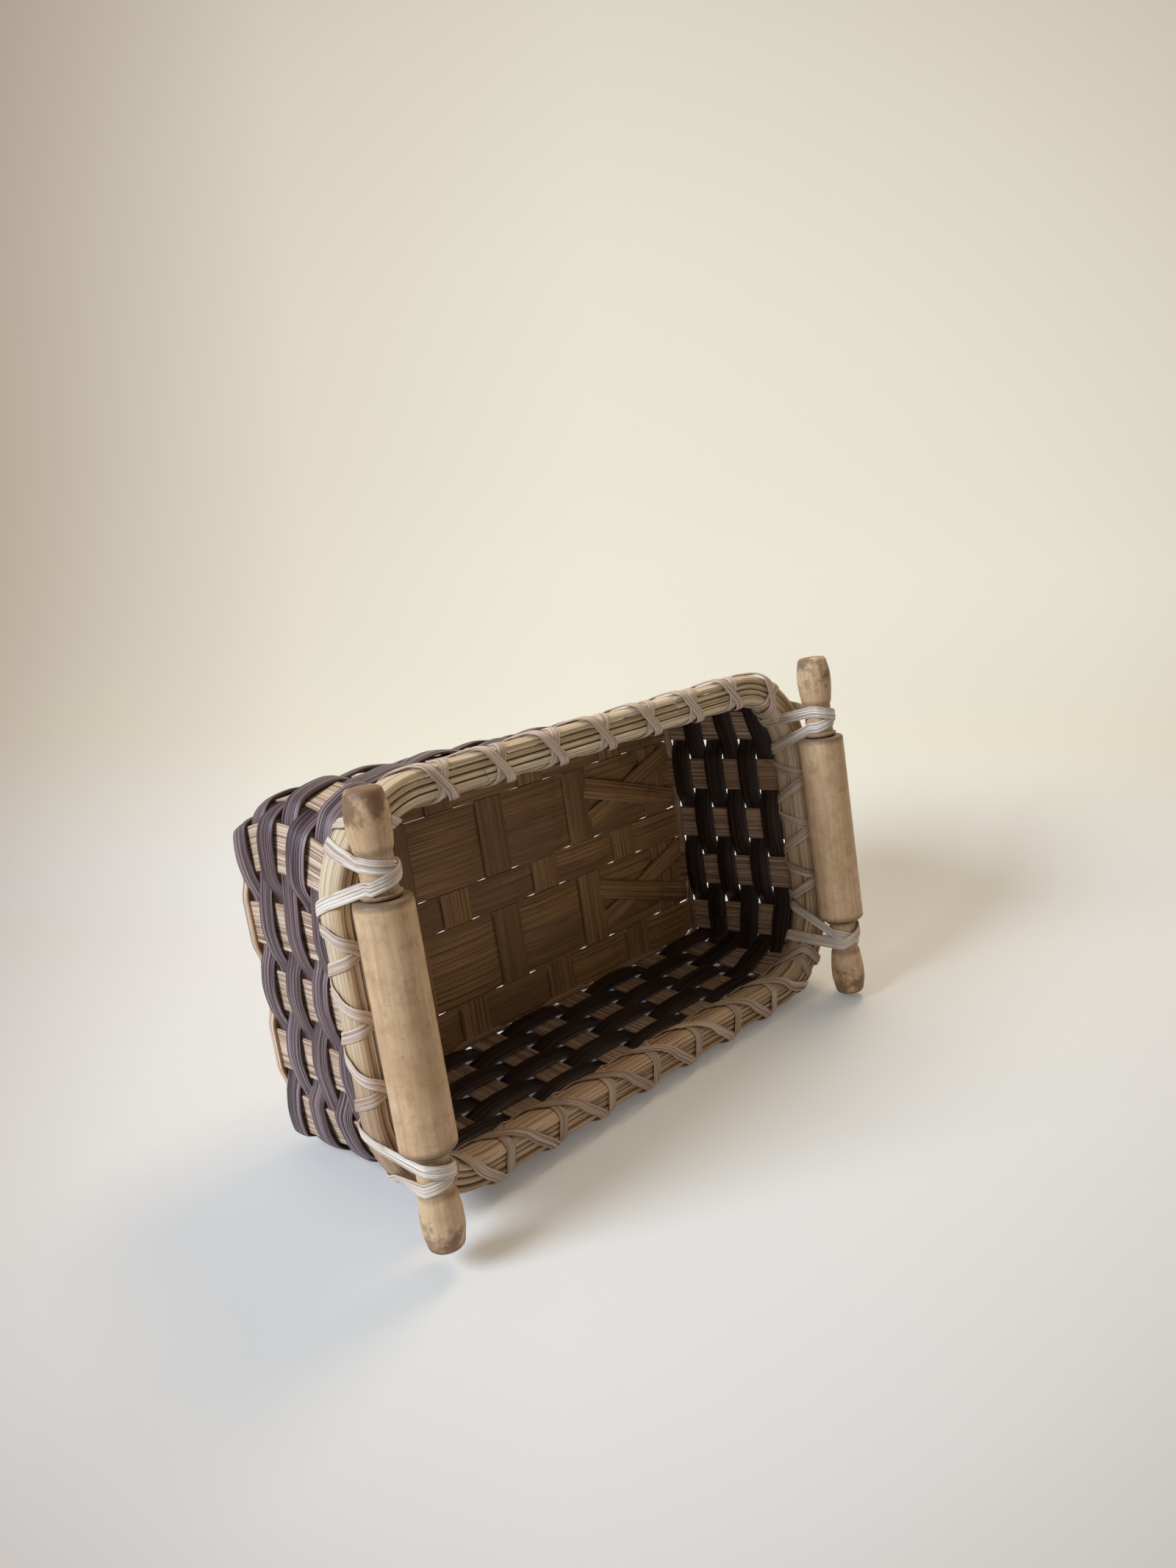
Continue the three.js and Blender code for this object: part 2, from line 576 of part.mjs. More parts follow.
// One turn of a strand round the rim's section, outer foot first: place and outward direction
function rimTurn() {
  const half = bandProfile(1).slice(1, 5).map(([n, h]) => new Vector2(n, h));
  const whole = [...half, ...half.map((p) => new Vector2(-p.x, p.y)).reverse()];
  const reach = CLEARANCE + LASH_THICK / 2;
  const marks = whole.map((point, i) => {
    const before = whole[(i + whole.length - 1) % whole.length];
    const after = whole[(i + 1) % whole.length];
    const into = point.clone().sub(before).normalize();
    const away = after.clone().sub(point).normalize();
    const facing = new Vector2(into.y + away.y, -into.x - away.x).normalize();
    const mitre = reach / (facing.x * into.y - facing.y * into.x);
    return { place: point.clone().addScaledVector(facing, mitre), facing };
  });
  const crest = { place: new Vector2(0, RIM_HEIGHT / 2 + reach), facing: new Vector2(0, 1) };
  marks.splice(4, 0, crest);
  return marks;
}

const TURN = rimTurn();
const UNDER = -RIM_HEIGHT / 2 - CLEARANCE - LASH_THICK / 2; // a strand that passes under the rim
const CROSSING = LASH_THICK + LASH_GAP; // how far the second strand stands off the first where they cross
const TURN_LIFT = [0, 0.3, 0.9, 1, 1, 1, 0.9, 0.3, 0]; // share of that at each mark of a turn

function turnShares() {
  const lengths = [0];
  for (let i = 1; i < TURN.length; i++) {
    lengths.push(lengths[i - 1] + TURN[i].place.distanceTo(TURN[i - 1].place));
  }
  return lengths.map((length) => length / lengths[lengths.length - 1]);
}

const SHARES = turnShares();

// The corners of a flat strand beside the rim line
function strandLoop(s, place, facing, width) {
  const t = LASH_THICK / 2;
  return [[-1, -t], [1, -t], [1, t], [-1, t]].map(([w, through]) =>
    rimPoint(s + (w * width) / 2, place.x + facing.x * through, place.y + facing.y * through),
  );
}

function underLoop(s, n, drop, width) {
  return strandLoop(s, new Vector2(n, UNDER - drop), new Vector2(0, -1), width);
}

// Rim lashing: one strand laced out over a row of stakes and back again, so that it crosses itself at each
function rimLashing(stakes) {
  const places = stakes.map(rimPlace);
  for (let i = 1; i < places.length; i++) {
    while (places[i] < places[i - 1]) places[i] += 4 * RIM_QUARTER;
  }
  const first = places[0];
  const last = places[places.length - 1];
  const loops = [underLoop(first - LASH_TURN, LASH_TAIL, 0, LASH_PINCH)];
  const turnOver = (at, way, lifted) => {
    TURN.forEach(({ place, facing }, i) => {
      const lift = lifted ? CROSSING * TURN_LIFT[i] : 0;
      const s = at + way * LASH_SPREAD * (2 * SHARES[i] - 1);
      loops.push(strandLoop(s, place.clone().addScaledVector(facing, lift), facing, LASH_WIDTH));
    });
  };
  const passBack = (from, to) => {
    const slope = (from - to - 2 * LASH_SPREAD) / (2 * TURN[0].place.x);
    for (const n of [-LASH_FLOOR, LASH_FLOOR]) {
      loops.push(underLoop((from + to) / 2 - n * slope, n, CROSSING, LASH_WIDTH));
    }
  };
  for (const at of places) turnOver(at, 1, false);
  loops.push(underLoop(last + LASH_TURN, 0, 0, LASH_PINCH));
  for (let i = places.length - 1; i >= 0; i--) {
    turnOver(places[i], -1, true);
    if (i > 0) passBack(places[i], places[i - 1]);
  }
  loops.push(underLoop(first - LASH_TURN, -LASH_TAIL, 0, LASH_PINCH));
  return loops;
}

// Pin lashing: a strand crossed over the neck of a handle and round the rim on both sides of the corner stake
function pinLashing(right, back, crossing) {
  const corner = { place: OUTER_LANE - PIN_LASH_IN, side: 1, onEnd: true };
  const at = rimPlace(corner);
  const [foot, low, high] = TURN;
  const loops = [];
  const beside = (mark, outer, s, lift) => {
    const place = mark.place.clone().addScaledVector(mark.facing, lift);
    const facing = new Vector2(outer * mark.facing.x, mark.facing.y);
    loops.push(strandLoop(at + s, new Vector2(outer * place.x, place.y), facing, PIN_LASH_WIDTH));
  };
  const inside = crossing < 0.5 ? CROSSING : 0; // the second turn rides over the first where they cross
  const outside = CROSSING - inside;
  const overNeck = (way, lifted) => {
    const first = Math.PI + THREE.MathUtils.degToRad(NECK_LEAVE_INSIDE);
    const last = -THREE.MathUtils.degToRad(NECK_LEAVE_OUTSIDE);
    for (let k = 0; k <= NECK_STEPS; k++) {
      const angle = THREE.MathUtils.lerp(first, last, k / NECK_STEPS);
      const onTop = lifted ? CROSSING : 0;
      let lift = onTop;
      if (lifted && k === 0) lift = inside;
      if (lifted && k === NECK_STEPS) lift = outside;
      const radius = NECK_D / 2 + CLEARANCE + LASH_THICK / 2 + lift;
      const share = THREE.MathUtils.clamp((k - 1) / (NECK_STEPS - 2), 0, 1);
      const spread = (NECK_SPREAD * (share - crossing)) / Math.max(crossing, 1 - crossing);
      const through = new Vector3(Math.cos(angle), 0, Math.sin(angle));
      const middle = new Vector3(PIN_X, NECK_MIDDLE + way * spread, PIN_Z).addScaledVector(through, radius);
      const section = flatSection(PIN_LASH_WIDTH, LASH_THICK);
      loops.push(placed(section, middle, new Vector3(0, -1, 0), through));
    }
  };
  const climb = (s, lift) => {
    beside(foot, -1, s * PIN_LASH_FOOT, 0);
    beside(low, -1, s * PIN_LASH_LOW, 0);
    beside(high, -1, s * PIN_LASH_HIGH, lift);
  };
  const descend = (s, lift) => {
    beside(high, 1, s * PIN_LASH_HIGH, lift);
    beside(low, 1, s * PIN_LASH_LOW, 0);
    beside(foot, 1, s * PIN_LASH_FOOT, 0);
  };
  climb(1, 0);
  overNeck(1, false);
  descend(-1, 0);
  climb(-1, inside);
  overNeck(-1, true);
  descend(1, outside);
  loops.push(underLoop(at + PIN_LASH_FOOT, 0, 0, LASH_PINCH));
  const placeIn = new Vector3(right, back, 1);
  return loops.map((loop) => loop.map((corner) => corner.clone().multiply(placeIn)));
}

// Least gap between turns of one strand, on points spread over its faces
function leastGap(loops) {
  const across = 4;
  const between = 4;
  const apart = 10; // points nearer than this along the strand belong to one bend
  const points = [];
  let run = 0;
  for (let i = 0; i + 1 < loops.length; i++) {
    const step = loops[i][0].distanceTo(loops[i + 1][0]);
    for (let j = 0; j < between; j++) {
      const [a, b, c, d] = loops[i].map((corner, k) => corner.clone().lerp(loops[i + 1][k], j / between));
      for (let k = 0; k <= across; k++) {
        points.push({ p: a.clone().lerp(b, k / across), run: run + (step * j) / between });
        points.push({ p: d.clone().lerp(c, k / across), run: run + (step * j) / between });
      }
    }
    run += step;
  }
  let least = Infinity;
  for (let i = 0; i < points.length; i++) {
    for (let j = i + 1; j < points.length; j++) {
      if (points[j].run - points[i].run > apart) {
        least = Math.min(least, points[i].p.distanceToSquared(points[j].p));
      }
    }
  }
  return Math.sqrt(least);
}

function addLashing(name, loops) {
  console.log(`${name}: least gap to itself ${leastGap(loops).toFixed(2)} mm`);
  add(name, loft(loops), LASH_REED);
}

// Rolling pins
function turned(profile) {
  return new THREE.LatheGeometry(profile.map(([r, y]) => new Vector2(r, y)), TURN_SIDES);
}

function barrel() {
  const bore = AXLE_D / 2 + AXLE_CLEARANCE;
  const r = BARREL_D / 2;
  const end = BARREL_LENGTH / 2;
  const ease = BARREL_EDGE * EDGE_EASE;
  return turned([
    [bore, -end],
    [r - BARREL_EDGE, -end],
    [r - ease, -end + ease],
    [r, -end + BARREL_EDGE],
    [r, end - BARREL_EDGE],
    [r - ease, end - ease],
    [r - BARREL_EDGE, end],
    [bore, end],
    [bore, -end],
  ]);
}

function axle() {
  const reach = HANDLE_FOOT + SOCKET_DEPTH - CLEARANCE;
  return turned([[0, -reach], [AXLE_D / 2, -reach], [AXLE_D / 2, reach], [0, reach]]);
}

function handle() {
  const socket = AXLE_D / 2 + CLEARANCE;
  const neckEnd = COLLAR_LENGTH + NECK_LENGTH;
  const knob = HANDLE_LENGTH - neckEnd;
  return turned([
    [0, SOCKET_DEPTH],
    [socket, SOCKET_DEPTH],
    [socket, 0],
    [COLLAR_D / 2 - COLLAR_EASE, 0],
    [COLLAR_D / 2, COLLAR_EASE],
    [COLLAR_D / 2, COLLAR_LENGTH - COLLAR_EASE],
    [NECK_D / 2, COLLAR_LENGTH],
    [NECK_D / 2, neckEnd],
    [SHOULDER_D / 2, neckEnd + SHOULDER_RUN],
    [KNOB_D / 2, neckEnd + knob * KNOB_FULL_FROM],
    [KNOB_D / 2, neckEnd + knob * KNOB_FULL_TO],
    [KNOB_END_D / 2, HANDLE_LENGTH - KNOB_EDGE],
    [KNOB_END_D / 2 - KNOB_EDGE, HANDLE_LENGTH],
    [0, HANDLE_LENGTH],
  ]);
}

function rollingPin(name, right) {
  const pieces = [
    { part: "barrel", shape: barrel(), y: 0, back: 1 },
    { part: "axle", shape: axle(), y: 0, back: 1 },
    { part: "handle_back", shape: handle(), y: HANDLE_FOOT, back: 1 },
    { part: "handle_front", shape: handle(), y: -HANDLE_FOOT, back: -1 },
  ];
  for (const { part, shape, y, back } of pieces) {
    if (back < 0) shape.rotateX(Math.PI);
    shape.translate(right * PIN_X, y, PIN_Z);
    add(`${name}_${part}`, shape, PIN_WOOD);
  }
}

// Assembly
crossPlaces().forEach((x, k) => add(`cross_stake_${k + 1}`, crossStake(x), NATURAL_REED));
add("long_stake_front", longStake(-OUTER_LANE), NATURAL_REED);
add("long_stake_middle", longStake(0), NATURAL_REED);
add("long_stake_back", longStake(OUTER_LANE), NATURAL_REED);
add("base_filler_front", baseFiller(-FILLER_LANE), NATURAL_REED);
add("base_filler_back", baseFiller(FILLER_LANE), NATURAL_REED);

const flat = { outside: 0, inside: 0 };
const bulges = { outside: WEAVER_LIFT, inside: WEAVER_LIFT_INSIDE };
const baseRow = flatSection(BASE_ROW_HEIGHT, NATURAL_THICK);
const baseRowMiddle = BEND_RISE + BASE_ROW_HEIGHT / 2;
add("base_row", wovenRow(0, baseRowMiddle, baseRow, NATURAL_THICK, flat, ROW_REACH), NATURAL_REED);
for (let row = 1; row <= ROW_COUNT; row++) {
  const z = ROWS_FOOT + ROW_HEIGHT / 2 + (row - 1) * ROW_PITCH;
  const weaver = ovalSection(ROW_HEIGHT, WEAVER_THICK);
  add(`weaver_row_${row}`, wovenRow(row, z, weaver, WEAVER_THICK, bulges, ROW_REACH), DARK_REED);
}
const rimRow = flatSection(RIM_ROW_HEIGHT, NATURAL_THICK);
const rimRowMiddle = (RIM_FOOT + STAKE_TOP) / 2;
const rimRowShape = wovenRow(ROW_COUNT + 1, rimRowMiddle, rimRow, NATURAL_THICK, flat, RIM_ROW_REACH);
add("rim_row", rimRowShape, NATURAL_REED);

add("rim_outer_band", rimBar(bandProfile(1), OUTER_JOINT_AT), RIM_REED);
add("rim_inner_band", rimBar(bandProfile(-1), INNER_JOINT_AT), RIM_REED);
add("rim_filler_outer", rimBar(rimFillerProfile(1), OUTER_JOINT_AT), RIM_REED);
add("rim_filler_inner", rimBar(rimFillerProfile(-1), INNER_JOINT_AT), RIM_REED);

const isCornerStake = (stake) => stake.onEnd && Math.abs(stake.place) > FILLER_LANE + LANE_GAP;
const lashed = (onEnd, side) =>
  STAKES.filter((stake) => stake.onEnd === onEnd && stake.side === side && !isCornerStake(stake));
addLashing("rim_lashing_back", rimLashing(lashed(false, 1)));
addLashing("rim_lashing_right", rimLashing(lashed(true, 1)));
addLashing("rim_lashing_front", rimLashing(lashed(false, -1)));
addLashing("rim_lashing_left", rimLashing(lashed(true, -1)));

rollingPin("pin_left", -1);
rollingPin("pin_right", 1);
addLashing("pin_lashing_left_front", pinLashing(-1, -1, CROSS_INSIDE));
addLashing("pin_lashing_left_back", pinLashing(-1, 1, CROSS_INSIDE));
addLashing("pin_lashing_right_front", pinLashing(1, -1, CROSS_ON_TOP));
addLashing("pin_lashing_right_back", pinLashing(1, 1, CROSS_OUTSIDE));

export default basket;
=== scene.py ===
# %% [markdown]
# # A woven biscuit basket
# The basket is woven from flat reed, its rim is lashed with crosses of narrow reed, and a small rolling
# pin is tied along each short rim as a handle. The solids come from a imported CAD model, which stays as a
# fixed frame. This lesson dresses each solid: every strip is drawn again along its own path, finer and
# with softened edges, and gets a material whose fibres run along it. That could also be done by
# subdividing the solids, but a strip that is drawn along its path also knows its length and its width,
# and the fibres need both.

# %% Load the frame
import math

import bmesh
import bpy
import numpy as np
from mathutils import Matrix


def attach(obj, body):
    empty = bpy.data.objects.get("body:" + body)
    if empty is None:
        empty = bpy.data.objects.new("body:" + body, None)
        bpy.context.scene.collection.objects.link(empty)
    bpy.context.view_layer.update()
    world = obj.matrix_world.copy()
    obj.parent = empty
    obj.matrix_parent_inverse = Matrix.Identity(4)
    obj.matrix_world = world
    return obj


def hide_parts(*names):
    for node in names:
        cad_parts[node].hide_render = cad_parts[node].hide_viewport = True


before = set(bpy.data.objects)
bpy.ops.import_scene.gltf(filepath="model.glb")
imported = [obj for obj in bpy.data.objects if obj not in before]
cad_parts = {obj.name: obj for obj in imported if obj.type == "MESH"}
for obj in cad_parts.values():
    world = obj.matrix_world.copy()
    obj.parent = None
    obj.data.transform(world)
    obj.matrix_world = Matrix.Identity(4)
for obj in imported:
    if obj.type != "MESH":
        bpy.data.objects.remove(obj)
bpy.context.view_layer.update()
print("solids in the frame:", len(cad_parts))

# %% [markdown]
# ## Sizes of the basket
# Reed is sold in stock sizes, and a maker cuts every strip of one kind from the same coil. So a handful
# of sizes gives the whole basket. They are in millimetres here, as a maker would measure them, and each
# mesh is scaled to metres at the end.

# %% Sizes of the reed, the walls, the rim and the pins
MM = 0.001
GAP = 0.35  # air between neighbouring strips
STAKE_WIDTH, STAKE_THICK = 16.0, 1.1
FILLER_WIDTH, LANE_GAP, CROSS_PITCH, LAP = 37.5, 1.2, 30.0, 0.2
SNUG, ROW_SNUG = 1.1, 1.3  # strips and rows are this much wider than the solids, so that neighbours touch
WALL_REACH = 2.6  # the two outer long strips lie this much closer to the walls
HALF_STAKE, SNUG_STAKE = STAKE_WIDTH / 2, STAKE_WIDTH + SNUG
FILLER_LANE = HALF_STAKE + LANE_GAP + FILLER_WIDTH / 2
OUTER_LANE = FILLER_LANE + FILLER_WIDTH / 2 + LANE_GAP + HALF_STAKE
CROSS_PLACES = [CROSS_PITCH * k for k in range(-4, 5)]
LAST_CROSS = CROSS_PLACES[-1]
LOW = STAKE_THICK / 2
LAYER = STAKE_THICK + GAP
HIGH = LOW + LAYER

END_ROOM, SIDE_ROOM = 8.3, 2.7  # between the outermost strips of the base and the walls
END_FOOT, SIDE_FOOT = LAST_CROSS + HALF_STAKE + END_ROOM, OUTER_LANE + HALF_STAKE + SIDE_ROOM
END_FLARE, SIDE_FLARE = 0.074, 0.15
FOOT_CORNER, RIM_CORNER = 6.0, 40.0
SIDE_FAN, END_FAN = 0.02, -0.03  # how much the stakes spread on their way up
BEND_RUN, BEND_RISE = 2.4, 3.4

BASE_ROW_HEIGHT, ROW_HEIGHT, ROW_GAP, ROW_COUNT = 2.8, 10.6, 0.3, 6
WEAVER_THICK, WEAVER_LIFTS, NATURAL_THICK = 1.9, (1.1, 0.35), 1.1
ROW_HUG = 0.05  # the rows lie this close to the stakes
ROWS_FOOT = BEND_RISE + BASE_ROW_HEIGHT + ROW_GAP
ROWS_TOP = ROWS_FOOT + ROW_COUNT * (ROW_HEIGHT + ROW_GAP) - ROW_GAP

LASH_WIDTH, LASH_THICK, LASH_GAP = 4.7, 1.1, 0.6
LASH_STACK = GAP + 2 * LASH_THICK + LASH_GAP
LASH_TURN, LASH_PINCH, LASH_END = 10.1, 3.4, 9.4  # a strand turns back past the last stake, pinched there
TIE_WIDTH, TIE_IN, TIE_PLACES, TIE_SPREAD = 5.6, 0.5, (11.4, 10.0, 7.4), 4.2
TIE_CLEAR = 0.7  # inside, the ties stand this far off the rim's band where they leave it
RIM_HEIGHT, BAND_THICK, RIM_FILLER_D = 14.3, 4.0, 2.7
RIM_CLEAR, FILLER_SINK = 0.45, 0.3  # air under the lashings; depth of the rim's fillers below its top
RIM_FOOT = ROWS_TOP + LASH_STACK + RIM_CLEAR
RIM_MIDDLE, RIM_TOP = RIM_FOOT + RIM_HEIGHT / 2, RIM_FOOT + RIM_HEIGHT
BAND_INSIDE = RIM_FILLER_D + 1.5 * GAP
BAND_OUTSIDE = BAND_INSIDE + BAND_THICK
STAKE_TOP = RIM_TOP - FILLER_SINK - RIM_FILLER_D - GAP
CORNER_GROWTH = (RIM_CORNER - FOOT_CORNER) / RIM_MIDDLE

PIN_LENGTH, BARREL_LENGTH, BARREL_D = 178.0, 97.0, 22.4
BARREL_BORE, HANDLE_BORE = 8.1, 8.7
COLLAR_D, COLLAR_LENGTH, NECK_D, NECK_LENGTH = 16.0, 2.0, 13.4, 14.5
SHOULDER_D, KNOB_D, KNOB_END_D, KNOB_EDGE = 14.8, 16.8, 14.4, 1.8
PIN_INSET, PIN_CLEAR, HANDLE_GAP = 3.4, 0.8, 0.45  # inside the wall, over the lashings, beside the barrel
PIN_X = END_FOOT + END_FLARE * RIM_MIDDLE - PIN_INSET
PIN_Z = RIM_TOP + LASH_STACK + PIN_CLEAR + BARREL_D / 2
HANDLE_FOOT = BARREL_LENGTH / 2 + HANDLE_GAP
HANDLE_LENGTH = PIN_LENGTH / 2 - HANDLE_FOOT
NECK_MIDDLE = HANDLE_FOOT + COLLAR_LENGTH + NECK_LENGTH / 2
print("rim middle at", round(RIM_MIDDLE, 2), "mm, pin axes at", round(PIN_X, 2), round(PIN_Z, 2))

# %% [markdown]
# ## From a path to a mesh
# A strip of reed is a path with a width and a thickness. Each station of the path holds a middle point,
# the direction across the strip, the direction through it, and its width. A skin over a grid of points
# does the rest, and it stores in its UV map how far along and how far across the strip each corner lies,
# in decimetres. Every strip starts at its own place in that map, so no two strips show the same fibres. A
# curve object with a bevel could make such strips too, but it can't change its width on the way or lie
# flat against whatever it passes.

# %% A mesh over a grid of points
UV_SHIFT = 3.7, 5.3  # decimetres from one strip's start in the map to the next one's
SHARP = math.radians(50)
strip_count = 0


def skin(rows, along, across, ring=False):
    """A tube over rows of corners, capped or closed to a ring. along and across are for its UVs."""
    global strip_count
    strip_count += 1
    u, v = (np.array(run) + shift * strip_count for run, shift in zip((along, across), UV_SHIFT))
    rows = np.asarray(rows, float)
    count, sides = rows.shape[:2]
    faces, uvs = [], []
    for i in range(count if ring else count - 1):
        ahead = (i + 1) % count
        for j in range(sides):
            k = (j + 1) % sides
            faces.append((i * sides + j, i * sides + k, ahead * sides + k, ahead * sides + j))
            uvs += [(u[i], v[j]), (u[i], v[j + 1]), (u[i + 1], v[j + 1]), (u[i + 1], v[j])]
    if not ring:
        for i, order in ((0, range(sides - 1, -1, -1)), (count - 1, range(sides))):
            faces.append(tuple(i * sides + j for j in order))
            uvs += [(u[i], v[j]) for j in order]
    mesh = bpy.data.meshes.new("strip")
    mesh.from_pydata((rows.reshape(-1, 3) * MM).tolist(), [], faces)
    layer = mesh.uv_layers.new(name="reed")
    layer.data.foreach_set("uv", np.array(uvs, np.float32).ravel())
    mesh.polygons.foreach_set("use_smooth", [True] * len(faces))
    volume = sum(face.center.dot(face.normal) * face.area for face in mesh.polygons)
    if volume < 0:
        mesh.flip_normals()
    mesh.set_sharp_from_angle(angle=SHARP)
    return mesh

# %% [markdown]
# Reed bends in smooth curves. The stations are joined by cubic pieces that never swing past the two
# stations they join, so an eased strip keeps clear of what it passes. A plain spline would swing out
# between the stations and cut into its neighbours.

# %% Easing a path between its stations
def unit(v):
    return v / np.linalg.norm(v)


def eased_values(at, values, places):
    """Cubic pieces through values at the given distances, without overshoot."""
    step = np.diff(at)[:, None]
    slope = np.diff(values, axis=0) / step
    tangent = np.zeros_like(values)
    tangent[0], tangent[-1] = slope[0], slope[-1]
    same = slope[:-1] * slope[1:] > 0
    w0, w1 = 2 * step[1:] + step[:-1], step[1:] + 2 * step[:-1]
    with np.errstate(divide="ignore", invalid="ignore"):
        mean = (w0 + w1) / (w0 / slope[:-1] + w1 / slope[1:])
    tangent[1:-1] = np.where(same, mean, 0)
    i = np.clip(np.searchsorted(at, places, side="right") - 1, 0, len(at) - 2)
    h = np.diff(at)[i][:, None]
    t = ((places - at[i])[:, None]) / h
    return ((1 + 2 * t) * (1 - t) ** 2 * values[i] + t * (1 - t) ** 2 * h * tangent[i]
            + t * t * (3 - 2 * t) * values[i + 1] + t * t * (t - 1) * h * tangent[i + 1])


def eased(stations, step):
    """The same path with a station about every step millimetres."""
    middle = np.array([s[0] for s in stations])
    data = np.array([np.concatenate([s[0], s[1], s[2], [s[3]]]) for s in stations])
    at = np.concatenate([[0], np.cumsum(np.linalg.norm(np.diff(middle, axis=0), axis=1))])
    places = [0.0]
    for a, b in zip(at[:-1], at[1:]):
        parts = max(1, int(math.ceil((b - a) / step)))
        places += [a + (b - a) * (k + 1) / parts for k in range(parts)]
    fine = eased_values(at, data, np.array(places))
    return [(row[:3], unit(row[3:6]), unit(row[6:9]), row[9]) for row in fine], np.array(places)

# %% [markdown]
# Reed is split from rattan and shaped by machine: flat for the stakes, flat with a domed face for the
# dyed rows, and narrow with a ridged face for the lashings. A Bevel modifier could soften a plain box. A
# list of corners gives each kind of reed its own section with fewer faces.

# %% Sections of the reeds and a strip along its path
DECIMETRE = 100


def flat_reed(thick, ease=0.28):
    """Corners round a flat reed: (share of its half width, inset from there, height)."""
    t, e, cut = thick / 2, ease, 0.3 * ease
    upper = [(1, 0, -t + e), (1, 0, t - e), (1, cut, t - cut), (1, e, t)]
    half = upper + [(-s, inset, h) for s, inset, h in reversed(upper)]
    return half + [(-1, cut, -t + cut), (-1, e, -t), (1, e, -t), (1, cut, -t + cut)]


def domed_reed(thick, edge, steps=7):
    """Corners round a reed that is flat below and domed above."""
    t, under, side, lip = thick / 2, 0.5, 0.08, 0.35
    corners = [(-1, under, -t), (1, under, -t), (1, side, -t + lip)]
    for k in range(steps + 1):
        s = 1 - 2 * k / steps
        corners.append((s, 0, edge + (t - edge) * math.sqrt(max(0, 1 - abs(s) ** 3))))
    return corners + [(-1, side, -t + lip)]


def ridged_reed(thick, ridges, depth):
    """Corners round a narrow reed with shallow ridges along its face."""
    t, count, ease, shoulder = thick / 2, 4 * ridges, 0.35, 0.4
    reach, dome = 0.93, 0.25
    corners = [(-1, ease, -t), (1, ease, -t), (1, 0.0, -t + ease), (1, 0.0, t - shoulder)]
    for k in range(count + 1):
        s = reach * (1 - 2 * k / count)
        groove = depth * (1 - abs(math.sin(math.pi * ridges * k / count)))
        corners.append((s, 0, t - dome * s * s - groove))
    return corners + [(-1, 0.0, t - shoulder), (-1, 0.0, -t + ease)]


def corners_at(section, width):
    """Where a section's corners lie: millimetres across and through the strip."""
    return [(share * (width / 2 - inset), height) for share, inset, height in section]


def round_about(outline):
    """Decimetres round a closed outline, at each of its points and at the first one again."""
    steps = [math.dist(a, b) / DECIMETRE for a, b in zip(outline, outline[1:] + outline[:1])]
    return np.cumsum([0.0] + steps)


def strip(stations, section, step=2.5):
    """The mesh of a reed with that section along a path."""
    fine, places = eased(stations, step)
    width = float(np.mean([s[3] for s in fine]))
    rows = [[middle + over * w + through * t for w, t in corners_at(section, wide)]
            for middle, over, through, wide in fine]
    return skin(rows, places / DECIMETRE, round_about(corners_at(section, width)))


print("corners round a flat reed:", len(flat_reed(STAKE_THICK)))

# %% [markdown]
# ## The walls
# The walls lean out a little, and the corners are tight at the base and wide at the rim. One function
# gives the outline at any height, and another gives the directions outwards, up and along the wall. Every
# stake and row takes its place from these two, so they agree with each other all the way up. A lattice
# could lean the walls of a straight basket, but then no strip would know where its neighbours have gone.

# %% The wall's middle surface
def outline(z):
    return END_FOOT + END_FLARE * z, SIDE_FOOT + SIDE_FLARE * z, FOOT_CORNER + CORNER_GROWTH * z


def wall_frame(x, y, z, nx, ny):
    """A point of the wall with its directions outwards, up and along the weaving."""
    lean = abs(nx) * END_FLARE + abs(ny) * SIDE_FLARE + CORNER_GROWTH * (1 - abs(nx) - abs(ny))
    out = unit(np.array([nx, ny, -lean]))
    up = unit(np.array([lean * nx, lean * ny, 1.0]))
    return np.array([x, y, z]), out, up, np.array([ny, -nx, 0.0])


def stake_frame(stake, z):
    """The wall where a stake crosses height z. A stake is (place, side, on an end wall or not)."""
    place, side, on_end = stake
    a, b, r = outline(z)
    straight, other = (b - r, a - r) if on_end else (a - r, b - r)
    at = place * (1 + (END_FAN if on_end else SIDE_FAN) * z / RIM_MIDDLE)
    sine = max(0.0, (abs(at) - straight) / r)
    cosine = math.sqrt(1 - sine * sine)
    away = side * (other + r * cosine)
    turn = math.copysign(sine, at)
    if on_end:
        return wall_frame(away, at, z, side * cosine, turn)
    return wall_frame(at, away, z, turn, side * cosine)


END_PLACES = [OUTER_LANE, FILLER_LANE, 0.0, -FILLER_LANE, -OUTER_LANE]
BACK = [(x, 1, False) for x in CROSS_PLACES]
RIGHT = [(y, 1, True) for y in END_PLACES]
FRONT = [(x, -1, False) for x in reversed(CROSS_PLACES)]
LEFT = [(y, -1, True) for y in reversed(END_PLACES)]
STAKES = BACK + RIGHT + FRONT + LEFT
print("stakes that each row meets:", len(STAKES))

# %% [markdown]
# ## The base and the stakes
# A stake is one strip: it runs up one wall, bends, crosses the base over and under the other strips,
# bends again and runs up the far wall. The bend is a small quadratic curve. An Array modifier would be
# quicker, but every strip goes over and under at its own places, so each gets a path of its own.

# %% A stake from the base up to the rim
X_AXIS, Y_AXIS, Z_AXIS = np.eye(3)
BEND_STEPS, WALL_STEPS = 4, 8


def bent(a, knee, b, t):
    """A point of the quadratic curve that leaves a towards the knee and comes to b from it."""
    return (1 - t) ** 2 * a + 2 * t * (1 - t) * knee + t * t * b


